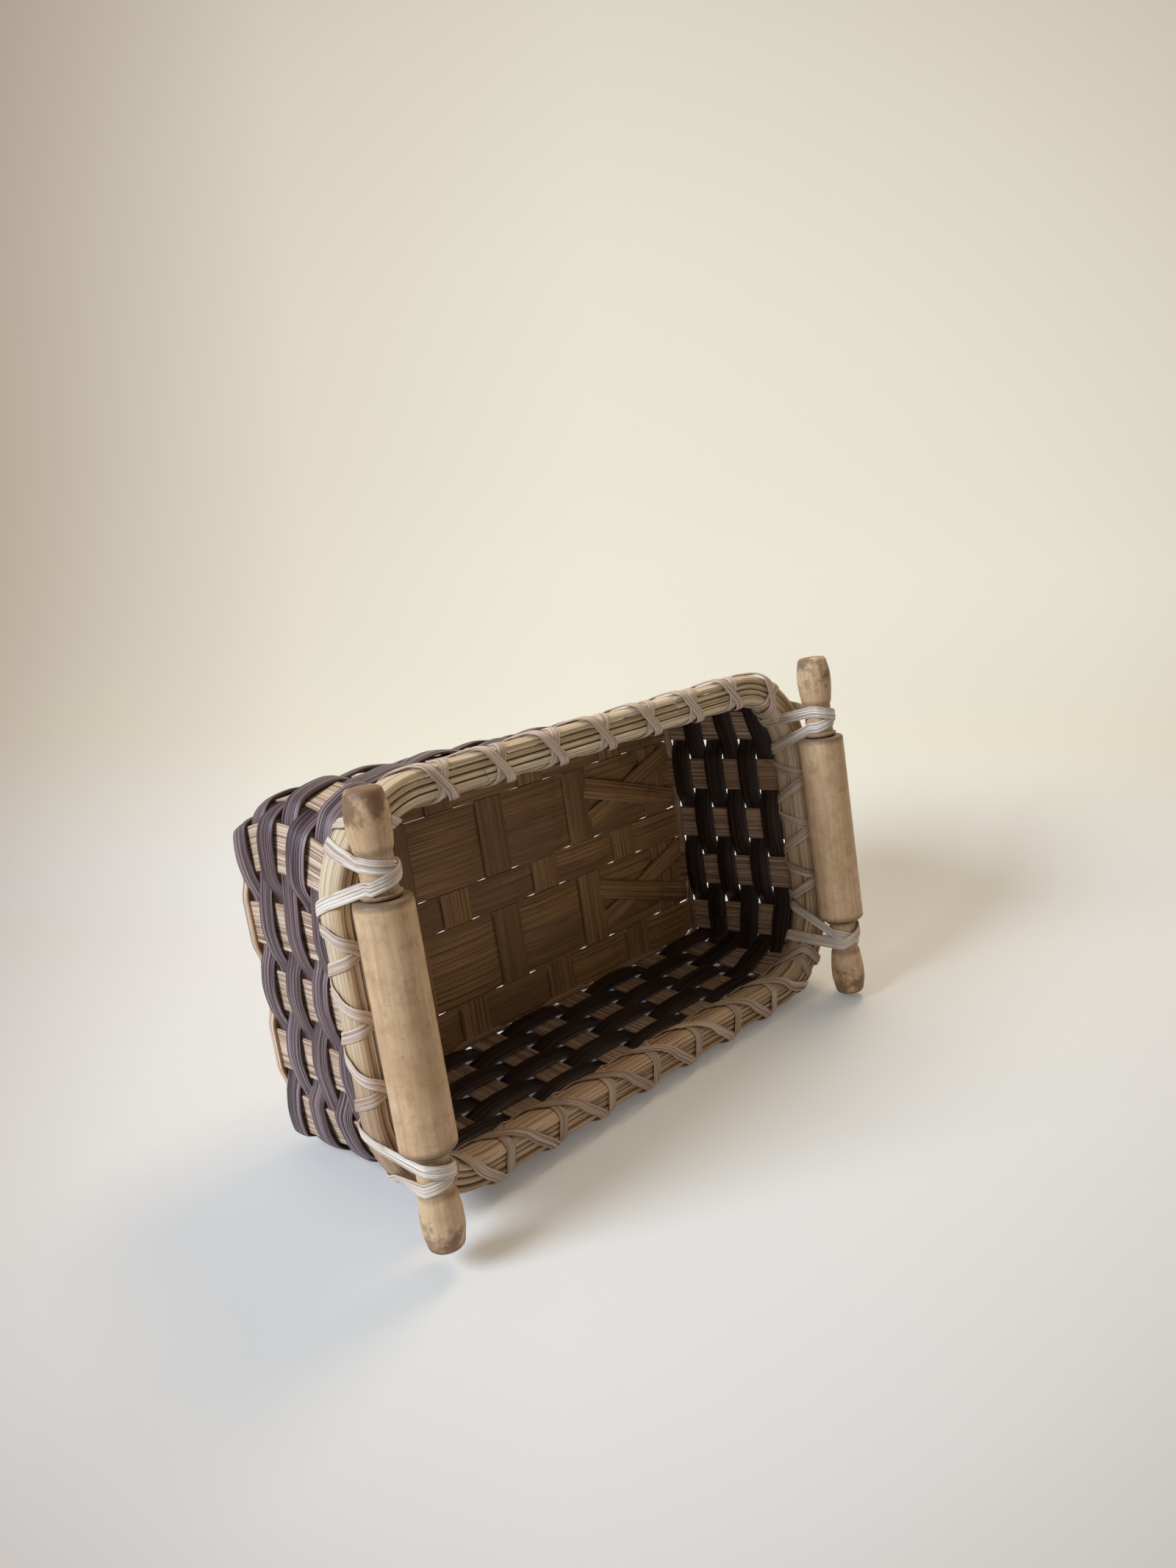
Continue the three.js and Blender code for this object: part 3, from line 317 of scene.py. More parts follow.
def rising(stake, level):
    """Stations of a stake's bend and of its stretch up the wall."""
    place, side, on_end = stake
    foot, lean = (END_FOOT, END_FLARE) if on_end else (SIDE_FOOT, SIDE_FLARE)
    outwards, across = (side * X_AXIS, Y_AXIS) if on_end else (side * Y_AXIS, X_AXIS)
    start = np.array([foot - BEND_RUN, level])
    knee = np.array([foot + lean * level, level])
    end = np.array([foot + lean * BEND_RISE, BEND_RISE])
    stations = []
    for k in range(BEND_STEPS):
        t = k / BEND_STEPS
        at = bent(start, knee, end, t)
        way = unit((1 - t) * (knee - start) + t * (end - knee))
        middle = outwards * at[0] + across * place + Z_AXIS * at[1]
        stations.append((middle, across, Z_AXIS * way[0] - outwards * way[1], SNUG_STAKE))
    for k in range(WALL_STEPS + 1):
        p, out, _, along = stake_frame(stake, BEND_RISE + (STAKE_TOP - BEND_RISE) * k / WALL_STEPS)
        width = along if np.dot(along, across) > 0 else -along
        stations.append((p, width, -out, SNUG_STAKE))
    return stations


def is_over_fillers(x):
    return round(x / CROSS_PITCH) % 2 == 0


def cross_stake(x):
    at_stake, at_filler = (LOW, HIGH) if is_over_fillers(x) else (HIGH, LOW)
    lanes = [(lane, HALF_STAKE, at_stake) for lane in (-OUTER_LANE, 0, OUTER_LANE)]
    lanes += [(lane, FILLER_WIDTH / 2, at_filler) for lane in (-FILLER_LANE, FILLER_LANE)]
    base = []
    for lane, half, level in sorted(lanes):
        for edge in (-1, 1):
            base.append((np.array([x, lane + edge * (half + LAP), level]), X_AXIS, Z_AXIS, SNUG_STAKE))
    front, back = rising((x, -1, False), at_stake), rising((x, 1, False), at_stake)
    return front[::-1] + base[1:-1] + back


def long_stake(y):
    """The two outer ones are dressed up against the foot of the wall."""
    nearer = WALL_REACH if y else 0.0
    middle_y = y + math.copysign(nearer / 2, y)
    base = []
    for x in CROSS_PLACES:
        level = HIGH if is_over_fillers(x) else LOW
        for edge in (-1, 1):
            middle = np.array([x + edge * (HALF_STAKE + LAP), middle_y, level])
            base.append((middle, Y_AXIS, Z_AXIS, SNUG_STAKE + nearer))
    left, right = rising((y, -1, True), HIGH), rising((y, 1, True), HIGH)
    return left[::-1] + base + right


print("stations of a cross stake:", len(cross_stake(0.0)))

# %% [markdown]
# The two wide fillers are split in three at both ends. The middle tongue turns up as a stake of the end
# wall. The two tails beside it fold back over the base, cross each other and are tucked under a cross
# stake, which locks the filler in place. A filler is drawn as one whole strip with the tongues and the
# tails rooted inside it. Slits could be cut into one mesh as well, but then the fibres would not follow
# the tails.

# %% A filler with its split ends
FOLD_IN, FOLD_OUT, SLIT = 0.3, 0.9, 0.3
ROOT, TUCK, TUCK_DROP, CLIMB = 2.0, 3.0, 0.3, 4.0  # inside the filler, under the cross stake, over a tail
UPPER_END, LOWER_END = 7.5, 10.0  # how far past the filler's middle the two tails of an end are tucked
FOLD_STEPS = 8
FOLD_AT = END_FOOT - BEND_RUN - FOLD_IN
TAIL_FOLD = FOLD_AT + FOLD_OUT
TAIL_EDGE = LAST_CROSS - 2 * CROSS_PITCH + HALF_STAKE + GAP
TAIL_WIDTH = (FILLER_WIDTH - STAKE_WIDTH) / 2 - SLIT
TAIL_ROOT = (FILLER_WIDTH - TAIL_WIDTH) / 2
TAIL_LEVEL = HIGH + LAYER


def filler_body(lane):
    stations = [(-FOLD_AT, LOW)]
    for x in CROSS_PLACES:
        level = LOW if is_over_fillers(x) else HIGH
        stations += [(x - HALF_STAKE - LAP, level), (x + HALF_STAKE + LAP, level)]
    stations.append((FOLD_AT, LOW))
    return [(np.array([x, lane, z]), Y_AXIS, Z_AXIS, FILLER_WIDTH + SNUG) for x, z in stations]


def filler_tongue(lane, side):
    root = (np.array([side * (FOLD_AT - ROOT), lane, LOW]), Y_AXIS, Z_AXIS, SNUG_STAKE)
    return [root] + rising((lane, side, True), LOW)


def filler_tail(lane, side, start, end, heights):
    """A tail at the right-hand end, or turned half round for the left-hand end."""
    slant = math.atan2(end - start, FOLD_AT - TAIL_EDGE)
    radius = LAYER / 2

    def station(u, v, z, turn, tilt):
        over = side * np.array([math.sin(turn), math.cos(turn), 0.0])
        through = np.array([-side * math.sin(tilt), 0.0, math.cos(tilt)])
        return np.array([side * u, lane + side * v, z]), over, through, TAIL_WIDTH

    stations = [station(FOLD_AT - ROOT, start, LOW, 0, 0)]
    for k in range(FOLD_STEPS + 1):
        tilt = math.pi * k / FOLD_STEPS
        u, z = TAIL_FOLD + radius * math.sin(tilt), LOW + radius * (1 - math.cos(tilt))
        stations.append(station(u, start, z, slant * k / FOLD_STEPS, tilt))
    for u, z in heights + [(TAIL_EDGE - TUCK, HIGH - TUCK_DROP)]:
        stations.append(station(u, start + (FOLD_AT - u) * math.tan(slant), z, slant, math.pi))
    return stations


def filler_paths(lane):
    """The whole strip, then the tongue and the two tails of each end."""
    run = FOLD_AT - TAIL_EDGE
    slopes = (UPPER_END + TAIL_ROOT) / run, (TAIL_ROOT + LOWER_END) / run
    crossing = FOLD_AT - 2 * TAIL_ROOT / sum(slopes)
    reach = TAIL_WIDTH / (2 * math.sin(math.atan(sum(slopes) / 2)))
    slope_end = LAST_CROSS - CROSS_PITCH - HALF_STAKE - LAP
    near_level = HIGH + LAYER * (crossing - reach - TAIL_EDGE) / (slope_end - TAIL_EDGE)
    climbed = (LAST_CROSS + HALF_STAKE + LAP + TAIL_WIDTH / 2 * slopes[1], TAIL_LEVEL)
    top = [climbed, (crossing + reach + CLIMB, TAIL_LEVEL), (crossing + reach, TAIL_LEVEL + LAYER),
           (slope_end, TAIL_LEVEL + LAYER), (crossing - reach, near_level + LAYER)]
    paths = [filler_body(lane)]
    for side in (-1, 1):
        paths.append(filler_tongue(lane, side))
        paths.append(filler_tail(lane, side, TAIL_ROOT, -LOWER_END, [climbed, (slope_end, TAIL_LEVEL)]))
        paths.append(filler_tail(lane, side, -TAIL_ROOT, UPPER_END, top))
    return paths


print("paths of a filler:", len(filler_paths(FILLER_LANE)))

# %% [markdown]
# ## The woven rows
# A row passes outside one stake and inside the next, and the row above it does the opposite. So the row
# needs three stations at each stake: before it, over its middle and after it. Outside it stands off the
# stake in a bulge, and inside it is pulled nearly flat. Each row's joint lies behind another stake. A
# sine wave along the wall would be shorter, but it would not keep step with stakes that fan out towards
# the rim.

# %% A row woven round all the stakes
FIRST_JOINT, JOINT_STEP = 3, 5
JOINT_END = 0.25  # from the middle of the joint's stake to the row's two ends


def heading(path, i):
    """The way along a path at one of its stations."""
    return path[min(i + 1, len(path) - 1)][0] - path[max(i - 1, 0)][0]


def woven_row(row, z, height, thick, lifts, past=0.9):
    """lifts are the bulges outside and inside the stakes, and past is how far a row runs on beside them."""
    reach = HALF_STAKE + past
    offset = STAKE_THICK / 2 + ROW_HUG + thick / 2
    joint = (FIRST_JOINT + row * JOINT_STEP) % len(STAKES)
    marks = []
    for k in range(len(STAKES) + 1):
        i = (joint + k) % len(STAKES)
        outside, lift = (1, lifts[0]) if (i + row) % 2 == 0 else (-1, lifts[1])
        p, out, up, along = stake_frame(STAKES[i], z)
        steps = [-reach, 0.0, reach]
        if k == 0:
            steps = [JOINT_END, reach]
        if k == len(STAKES):
            steps = [-reach, -JOINT_END]
        for step in steps:
            bulge = lift if abs(step) < reach else 0.0
            marks.append((p + along * step + out * outside * (offset + bulge), up))
    stations = []
    for i, (at, up) in enumerate(marks):
        forward = unit(heading(marks, i))
        out = unit(np.cross(up, forward))
        stations.append((at, unit(np.cross(forward, out)), out, height))
    return stations


print("stations of a row:", len(woven_row(1, ROWS_FOOT, ROW_HEIGHT, WEAVER_THICK, WEAVER_LIFTS)))

# %% [markdown]
# ## The rim
# Two half-round bands grip the top of the wall, with two thin round reeds between them along the top. All
# four follow the same line, so a point of the rim is given by a distance along that line, a distance
# outwards and a height. A straight bar could be bent with a Curve modifier, but that would stretch it at
# the corners.

# %% Points beside the rim line
RIM_A, RIM_B, RIM_R = outline(RIM_MIDDLE)
RIM_STRAIGHT, RIM_ARC = RIM_A - RIM_R, RIM_R * math.pi / 2
RIM_QUARTER = RIM_STRAIGHT + RIM_ARC + RIM_B - RIM_R
NO_TURN = 1e-6


def rim_point(s, n, h):
    """s along the rim from the middle of the back, n outwards and h up."""
    signed = (s + 2 * RIM_QUARTER) % (4 * RIM_QUARTER) - 2 * RIM_QUARTER
    right = -1 if signed < 0 else 1
    back = -1 if abs(signed) > RIM_QUARTER else 1
    d = abs(signed) if back > 0 else 2 * RIM_QUARTER - abs(signed)
    turn = min(max(d - RIM_STRAIGHT, 0) / RIM_R, math.pi / 2)
    x = min(d, RIM_STRAIGHT) + RIM_R * math.sin(turn)
    y = RIM_B - RIM_R + RIM_R * math.cos(turn) - max(d - RIM_STRAIGHT - RIM_ARC, 0)
    facing = right * math.sin(turn), back * math.cos(turn)
    p, out, up, _ = wall_frame(right * x, back * y, RIM_MIDDLE, *facing)
    return p + out * n + up * h


def rim_place(stake):
    """Where a stake meets the rim line."""
    p, out, _, _ = stake_frame(stake, RIM_MIDDLE)
    turn = math.atan2(abs(out[0]), abs(out[1]))
    d = RIM_STRAIGHT + RIM_R * turn
    if turn < NO_TURN:
        d = abs(p[0])
    if turn > math.pi / 2 - NO_TURN:
        d = RIM_QUARTER - abs(p[1])
    quarter = d if p[1] >= 0 else 2 * RIM_QUARTER - d
    return quarter if p[0] >= 0 else -quarter


print("rim length:", round(4 * RIM_QUARTER), "mm")

# %% [markdown]
# The bands and the round reeds each go once round and end in a joint that is cut on a slant. A bevelled
# curve ends square, so the bars are made from rows of corners, and the rows near the joint are slanted
# one by one.

# %% Bars that run round the rim
EDGE_SHARE = 0.45  # a rounded corner takes up at most this share of the edges beside it
CORNER_STEPS = 3
SHOULDER_IN, SHOULDER_DROP, BAND_ROUND = 2.15, 3.15, 2.2
HALF_RIM, SHOULDER = RIM_HEIGHT / 2, BAND_INSIDE + SHOULDER_IN
BAND_SIDE = [(SHOULDER, -HALF_RIM), (BAND_OUTSIDE, -HALF_RIM + SHOULDER_DROP),
             (BAND_OUTSIDE, HALF_RIM - SHOULDER_DROP), (SHOULDER, HALF_RIM)]
BAR_STEPS, BAR_GAP, JOINT_SLANT = 240, 1.0, 0.8
JOINT_FADE = 40  # the joint's slant is gone after one part in so many of the way round


def rounded(corners, radius):
    """A closed outline with its corners rounded off."""
    corners = [np.array(c, float) for c in corners]
    points = []
    for i, corner in enumerate(corners):
        before, after = corners[i - 1] - corner, corners[(i + 1) % len(corners)] - corner
        cut = min(radius, EDGE_SHARE * np.linalg.norm(before), EDGE_SHARE * np.linalg.norm(after))
        a, b = corner + unit(before) * cut, corner + unit(after) * cut
        points += [bent(a, corner, b, k / CORNER_STEPS) for k in range(CORNER_STEPS + 1)]
    return points


def rim_bar(profile, joint_at):
    """A bar once round the rim, with a slanted joint."""
    rows, along = [], []
    for k in range(BAR_STEPS + 1):
        ease = 1 - min(1, JOINT_FADE * min(k, BAR_STEPS - k) / BAR_STEPS)
        s = joint_at + BAR_GAP / 2 + (4 * RIM_QUARTER - BAR_GAP) * k / BAR_STEPS
        rows.append([rim_point(s + JOINT_SLANT * h * ease, n, h) for n, h in profile])
        along.append((s - joint_at) / DECIMETRE)
    return skin(rows, along, round_about(profile))


def band_profile(outwards):
    corners = [(BAND_INSIDE, -HALF_RIM), *BAND_SIDE, (BAND_INSIDE, HALF_RIM)]
    return [(outwards * n, h) for n, h in rounded(corners, BAND_ROUND)]


def angles_round(count):
    return np.linspace(0, 2 * math.pi, count + 1)[:-1]


def rim_filler_profile(outwards):
    r = RIM_FILLER_D / 2
    middle, level = outwards * (r + GAP / 2), HALF_RIM - FILLER_SINK - r
    return [(middle + r * math.cos(a), level + r * math.sin(a)) for a in angles_round(12)]


print("corners round a band:", len(band_profile(1)))

# %% [markdown]
# ## The lashings
# The rim lashing is one narrow strand on each side. On the way out it goes nearly straight over the rim
# at each stake and moves on underneath. On the way back it slants over the rim to the next gap and goes
# straight underneath, so the two make a lopsided cross on each stake. The strands are damp when they are
# pulled tight, so they are dressed thin and close to the bands, and each stays square to its own path.
# One cross could be modelled and copied, but a strand that is laced like the real one also has its hidden
# stretches in the right place. It starts with the way round the rim's section.

# %% The way round the rim's section
STRAND_THICK, HUG = 0.95, 0.05
STRAND_REACH = HUG + STRAND_THICK / 2
# How much of its lift a strand that crosses another one has at the marks of the turn
TURN_LIFTS = 0, 0.3, 0.9, 1, 1, 1, 0.9, 0.3, 0


def rim_turn():
    """Places and outward directions of a strand round the rim, from the outer foot to the inner foot."""
    whole = [np.array(p) for p in BAND_SIDE] + [np.array((-n, h)) for n, h in reversed(BAND_SIDE)]
    marks = []
    for i, point in enumerate(whole):
        into = unit(point - whole[i - 1])
        away = unit(whole[(i + 1) % len(whole)] - point)
        facing = unit(np.array([into[1] + away[1], -into[0] - away[0]]))
        marks.append((point + facing * STRAND_REACH / (facing[0] * into[1] - facing[1] * into[0]), facing))
    top = np.array([0.0, HALF_RIM + STRAND_REACH]), np.array([0.0, 1.0])
    return marks[:len(BAND_SIDE)] + [top] + marks[len(BAND_SIDE):]


def softened(marks):
    """The same turn with its corners rounded like those of the bands."""
    soft = [marks[0]]
    for before, (place, _), after in zip(marks, marks[1:], marks[2:]):
        into, away = place - before[0], after[0] - place
        a = place - unit(into) * min(BAND_ROUND, EDGE_SHARE * np.linalg.norm(into))
        b = place + unit(away) * min(BAND_ROUND, EDGE_SHARE * np.linalg.norm(away))
        for k in range(CORNER_STEPS + 1):
            t = k / CORNER_STEPS
            way = (1 - t) * unit(into) + t * unit(away)
            soft.append((bent(a, place, b, t), unit(np.array([way[1], -way[0]]))))
    return soft + [marks[-1]]


def shares_along(marks):
    """How far along a turn each mark lies, from 0 to 1."""
    steps = [np.linalg.norm(b[0] - a[0]) for a, b in zip(marks, marks[1:])]
    lengths = np.cumsum([0] + steps)
    return lengths / lengths[-1]


TURN = rim_turn()
SOFT_TURN = softened(TURN)
SOFT_SHARES = shares_along(SOFT_TURN)
SOFT_LIFT = np.interp(SOFT_SHARES, shares_along(TURN), TURN_LIFTS)
print("stations of a turn over the rim:", len(SOFT_TURN))

# %% [markdown]
# Now the strand itself. At each stake it takes one turn over the rim and passes under it to the next one,
# first out and then back over its own first run. The crosses of the front side are more lopsided than the
# others. So the slant of both runs is given for each side, instead of one cross for all.

# %% A strand laced out and back along one side
# Shares of a turn from the outer foot to the inner foot, and the millimetres along the rim from the stake
# there: first for the strand that goes out, then for the one that comes back over it
EVEN_CROSS = ((0.0, 8.0), (1.0, -8.0)), ((0.0, -17.0), (1.0, 14.0))
FRONT_CROSS = (((0.0, 8.0), (0.35, -0.5), (0.8, -2.0), (1.0, -8.0)),
               ((0.0, -17.0), (0.36, -26.5), (1.0, 8.0)))
UNDER = -HALF_RIM - STRAND_REACH
# How far from the wall's middle a strand passes under the rim, and where it ends there
UNDER_HALF, END_HALF = 2.4, 2.0
CROSSING = STRAND_THICK + 2 * HUG
DOWN = np.array([0.0, -1.0])


def strand_station(s, place, facing, width):
    middle = rim_point(s, *place)
    across = unit(rim_point(s + 1, *place) - rim_point(s - 1, *place))
    return middle, across, unit(rim_point(s, *(place + facing)) - middle), width


def under_rim(s, n, width, lift=0.0):
    return strand_station(s, np.array([n, UNDER - lift]), DOWN, width)


def squared(stations):
    """The same path with each station's width turned square to it."""
    return [(middle, unit(np.cross(through, heading(stations, i))), through, width)
            for i, (middle, _, through, width) in enumerate(stations)]


def rim_lashing(stakes, way, cross):
    """way is 1 for a strand laced from the last stake to the first and back, and -1 for the opposite."""
    places = [rim_place(stake) for stake in stakes]
    for i in range(1, len(places)):
        while places[i] < places[i - 1]:
            places[i] += 4 * RIM_QUARTER
    lowest, highest = places[0] - LASH_END, places[-1] + LASH_END
    closeness = (places[2] - places[1]) / CROSS_PITCH
    out = places[::-1] if way > 0 else places

    def turn_over(at, slant, lift):
        for (place, facing), share, rise in zip(SOFT_TURN, SOFT_SHARES, SOFT_LIFT):
            s = at + way * closeness * np.interp(share, *zip(*slant))
            middle = place + facing * lift * rise
            stations.append(strand_station(min(max(s, lowest), highest), middle, facing, LASH_WIDTH))

    def lace(order, slant, lift):
        for at, following in zip(order, order[1:]):
            turn_over(at, slant, lift)
            for n in (-UNDER_HALF, UNDER_HALF):
                stations.append(under_rim((at + following) / 2, n, LASH_WIDTH, lift))
        turn_over(order[-1], slant, lift)

    stations = [under_rim(out[0] + way * LASH_TURN, END_HALF, LASH_PINCH)]
    lace(out, cross[0], 0.0)
    stations.append(under_rim(out[-1] - way * LASH_TURN, 0.0, LASH_PINCH))
    lace(out[::-1], cross[1], CROSSING)
    stations.append(under_rim(out[0] + way * LASH_TURN, -END_HALF, LASH_PINCH))
    return squared(stations)


print("stations of the front lashing:", len(rim_lashing(FRONT, 1, FRONT_CROSS)))

# %% [markdown]
# Each pin is tied on by its two necks. A wider strand crosses over the neck and goes down round the rim
# on both sides of the corner stake. It is drawn for one corner, and the other three are mirrored.

# %% A strand crossed over a neck
FREE_SHARES = 0.1, 0.5, 0.9
NECK_STEPS = 8


def taut(*stretches):
    """One path through stretches that lie on something, pulled straight where it is free between them."""
    stations = list(stretches[0])
    for stretch in stretches[1:]:
        a, b = stations[-1], stretch[0]
        stations += [tuple((1 - t) * p + t * q for p, q in zip(a, b)) for t in FREE_SHARES]
        stations += stretch
    return stations


def pin_lashing(right, back, crossing):
    """The turns cross at a share of the way over the neck, counted from the inside of the rim."""
    at = rim_place((OUTER_LANE - TIE_IN, 1, True))
    inside = CROSSING if crossing < 0.5 else 0.0
    outside = CROSSING - inside
    on_neck = NECK_D / 2 + STRAND_REACH

    def beside(mark, outer, s, lift):
        place, facing = TURN[mark]
        flip = np.array([outer, 1.0])
        return strand_station(at + s, (place + facing * lift) * flip, facing * flip, TIE_WIDTH)

    def leaving(s, outer, lift):
        """The angle round the neck at which a taut turn leaves it for its place on the rim."""
        mark, clear = (2, 0.0) if outer > 0 else (1, TIE_CLEAR)
        place, facing = TURN[mark]
        section = (place + facing * (lift + clear)) * np.array([outer, 1.0])
        on_rim = rim_point(at + s * TIE_PLACES[mark], *section)
        dx, dz = on_rim[0] - PIN_X, on_rim[2] - PIN_Z
        turn = math.acos((on_neck + lift) / math.hypot(dx, dz))
        return math.atan2(dz, dx) + turn if outer > 0 else math.atan2(dz, dx) % (2 * math.pi) - turn

    def over_neck(way, lifts, first, last):
        stretch = []
        for k in range(NECK_STEPS + 1):
            angle = first + (last - first) * k / NECK_STEPS
            radius = on_neck + lifts[min(k, 1) + (k == NECK_STEPS)]
            share = min(max((k - 1) / (NECK_STEPS - 2), 0), 1)
            y = NECK_MIDDLE + way * TIE_SPREAD * (share - crossing) / max(crossing, 1 - crossing)
            through = np.array([math.cos(angle), 0, math.sin(angle)])
            stretch.append((np.array([PIN_X, y, PIN_Z]) + through * radius, -Y_AXIS, through, TIE_WIDTH))
        return stretch

    def climb(s, lift):
        rises = (0, 0), (1, lift + TIE_CLEAR)
        return [beside(mark, -1, s * TIE_PLACES[mark], rise) for mark, rise in rises]

    def descend(s, lift):
        rises = (2, lift), (1, 0), (0, 0)
        return [beside(mark, 1, s * TIE_PLACES[mark], rise) for mark, rise in rises]

    first_neck = over_neck(1, (0, 0, 0), leaving(1, -1, 0), leaving(-1, 1, 0))
    second_lifts = inside, CROSSING, outside
    second_neck = over_neck(-1, second_lifts, leaving(-1, -1, inside), leaving(1, 1, outside))
    stations = taut(climb(1, 0), first_neck, descend(-1, 0))
    stations += taut(climb(-1, inside), second_neck, descend(1, outside))
    stations.append(under_rim(at + TIE_PLACES[0], 0.0, LASH_PINCH))
    mirror = np.array([right, back, 1.0])
    return [(p * mirror, a * mirror, t * mirror, w) for p, a, t, w in stations]


print("stations of a pin's tie:", len(pin_lashing(1, 1, 0.5)))

# %% [markdown]
# ## The rolling pins
# A pin is turned on a lathe, so each of its pieces is a profile spun round the pin's axis. The barrel has
# softly rounded ends, and the handles swell from a thin neck to a rounded knob. A Screw modifier would
# spin the profile as well. Spinning it here also gives the UV map that the grain is read from.

# %% A turned piece
# How far the rounded ends of a barrel and of a knob lie inside its side and inside its end
BARREL_ROUND = (1.7, 0.0), (0.7, 0.25), (0.15, 0.9), (0.0, 1.8), (0.0, 12.0)
KNOB_ROUND = (0.4, 0.9), (1.1, 0.25), (2.2, 0.0)
COLLAR_EASE, NECK_STOP, KNOB_RUN, KNOB_STEPS = 0.6, 0.2, 1.2, 16
NECK_FILLET = (0.3, -0.1), (0.0, 0.4)  # outside the neck and past the collar's end, where the two meet
KNOB_FULL = 0.46, 0.6  # the shares of the knob's length between which it is thickest
AXIS_R = 0.02  # radius of the last ring on the axis
GIRTH = 0.7  # decimetres of the UV map round a pin


def turned(profile, x, y, back=1, ring=False, sides=48):
    """A profile of (radius, place along the axis) spun round the pin's axis. A bored one makes a ring."""
    rows = [[(x + r * math.cos(a), y + back * h, PIN_Z + r * math.sin(a)) for a in angles_round(sides)]
            for r, h in profile]
    around = [GIRTH * k / sides for k in range(sides + 1)]
    return skin(rows, round_about(profile), around, ring)


def barrel_profile():
    r, end = BARREL_D / 2, BARREL_LENGTH / 2
    half = [(BARREL_BORE / 2, end)] + [(r - a, end - b) for a, b in BARREL_ROUND]
    return half + [(r, 0)] + [(q, -h) for q, h in reversed(half)]


def handle_profile():
    """From the socket over the collar and the neck to the end of the knob."""
    collar, thin, end = COLLAR_D / 2, NECK_D / 2, KNOB_END_D / 2
    neck = COLLAR_LENGTH + NECK_LENGTH
    knob = HANDLE_LENGTH - neck
    marks = [(HANDLE_BORE / 2, 0), (collar - COLLAR_EASE, 0), (collar, COLLAR_EASE),
             (collar, COLLAR_LENGTH - COLLAR_EASE)]
    marks += [(thin + a, COLLAR_LENGTH + b) for a, b in NECK_FILLET] + [(thin, neck - NECK_STOP)]
    full = [(KNOB_D / 2, neck + share * knob) for share in KNOB_FULL]
    swell = np.array([(SHOULDER_D / 2, neck + KNOB_RUN), *full, (end, HANDLE_LENGTH - KNOB_EDGE)])
    places = np.linspace(neck + KNOB_RUN, HANDLE_LENGTH - KNOB_EDGE, KNOB_STEPS)
    marks += list(zip(eased_values(swell[:, 1], swell[:, :1], places)[:, 0], places))
    return marks + [(end - a, HANDLE_LENGTH - b) for a, b in KNOB_ROUND] + [(AXIS_R, HANDLE_LENGTH)]


print("rings of a handle:", len(handle_profile()))

# %% [markdown]
# ## Finishes
# A finish is a net of small nodes. Most of them only take a value, change it and hand it on, so a few
# short functions make them, and each finish below then reads like a recipe.

# %% Small helpers for the finishes
def give(tree, node, inputs):
    """Each named input of a node gets a value, or takes it from an output of another node."""
    for socket, given in inputs.items():
        if isinstance(given, bpy.types.NodeSocket):
            tree.links.new(given, node.inputs[socket])
        else:
            node.inputs[socket].default_value = given


def add(tree, kind, inputs=None, **settings):
    """A new node with its settings and its inputs."""
    node = tree.nodes.new("ShaderNode" + kind)
    for name, value in settings.items():
        setattr(node, name, value)
    give(tree, node, inputs or {})
    return node


def computed(tree, operation, a, b=0.0):
    return add(tree, "Math", {0: a, 1: b}, operation=operation).outputs[0]


def moved(tree, operation, a, b=(0, 0, 0)):
    return add(tree, "VectorMath", {0: a, 1: b}, operation=operation).outputs[0]


def dot(tree, a, b):
    return add(tree, "VectorMath", {0: a, 1: b}, operation="DOT_PRODUCT").outputs["Value"]


def mapped(tree, value, low, high, to_low=0.0, to_high=1.0, kind="LINEAR"):
    """A value brought from one range to another."""
    ranges = {"From Min": low, "From Max": high, "To Min": to_low, "To Max": to_high}
    return add(tree, "MapRange", {"Value": value, **ranges}, interpolation_type=kind).outputs["Result"]


def noise(tree, where, scale, detail, rough=0.6, dimensions="3D"):
    settings = {"Vector": where, "Scale": scale, "Detail": detail, "Roughness": rough}
    return add(tree, "TexNoise", settings, noise_dimensions=dimensions).outputs["Fac"]


def tinted(tree, below, mask, low, high, colour, amount):
    """Lay a colour over another one where a mask lies between low and high."""
    above = (*colour, 1) if isinstance(colour, tuple) else colour
    cover = mapped(tree, mask, low, high, 0.0, amount)
    return add(tree, "Mix", {"Factor": cover, "A": below, "B": above}, data_type="RGBA").outputs["Result"]


def ramp_of(tree, value, stops):
    """Colours at places along a value from 0 to 1."""
    ramp = add(tree, "ValToRGB", {"Fac": value})
    elements = ramp.color_ramp.elements
    elements[0].position, elements[1].position = stops[0][0], stops[-1][0]
    elements[0].color, elements[1].color = (*stops[0][1], 1), (*stops[-1][1], 1)
    for place, colour in stops[1:-1]:
        elements.new(place).color = (*colour, 1)
    return ramp.outputs["Color"]


def new_finish(name):
    """A new material, its tree of nodes and its main surface."""
    material = bpy.data.materials.new(name)
    material.use_nodes = True
    return material, material.node_tree, material.node_tree.nodes["Principled BSDF"]


def ridges(tree, height, depth, strength=0.6):
    inputs = {"Strength": strength, "Distance": depth * MM, "Height": height}
    return add(tree, "Bump", inputs).outputs["Normal"]

# %% [markdown]
# All reed shows long fibres, slow changes of tone and a few dark flecks. These are shared by every
# material, so they are one node group, and each material gives it its own scales. The fibres come from
# noise that is stretched along the strip, read from the UV map in decimetres. A picture of reed could
# serve as a texture, but it would repeat from strip to strip, and noise doesn't.

# %% The shared fibre group
# Scales along and across, detail and roughness of each noise
FIBRE_NOISES = {"Streak": (1.0, 1.0, 3, 0.6), "Fine": (2.0, 3.3, 2, 0.6), "Tone": (0.9, 0.035, 2, 0.5),
                "Fleck": (9.0, 0.9, 2, 0.5)}
FLECK_FROM, FLECK_TO = 0.66, 0.74


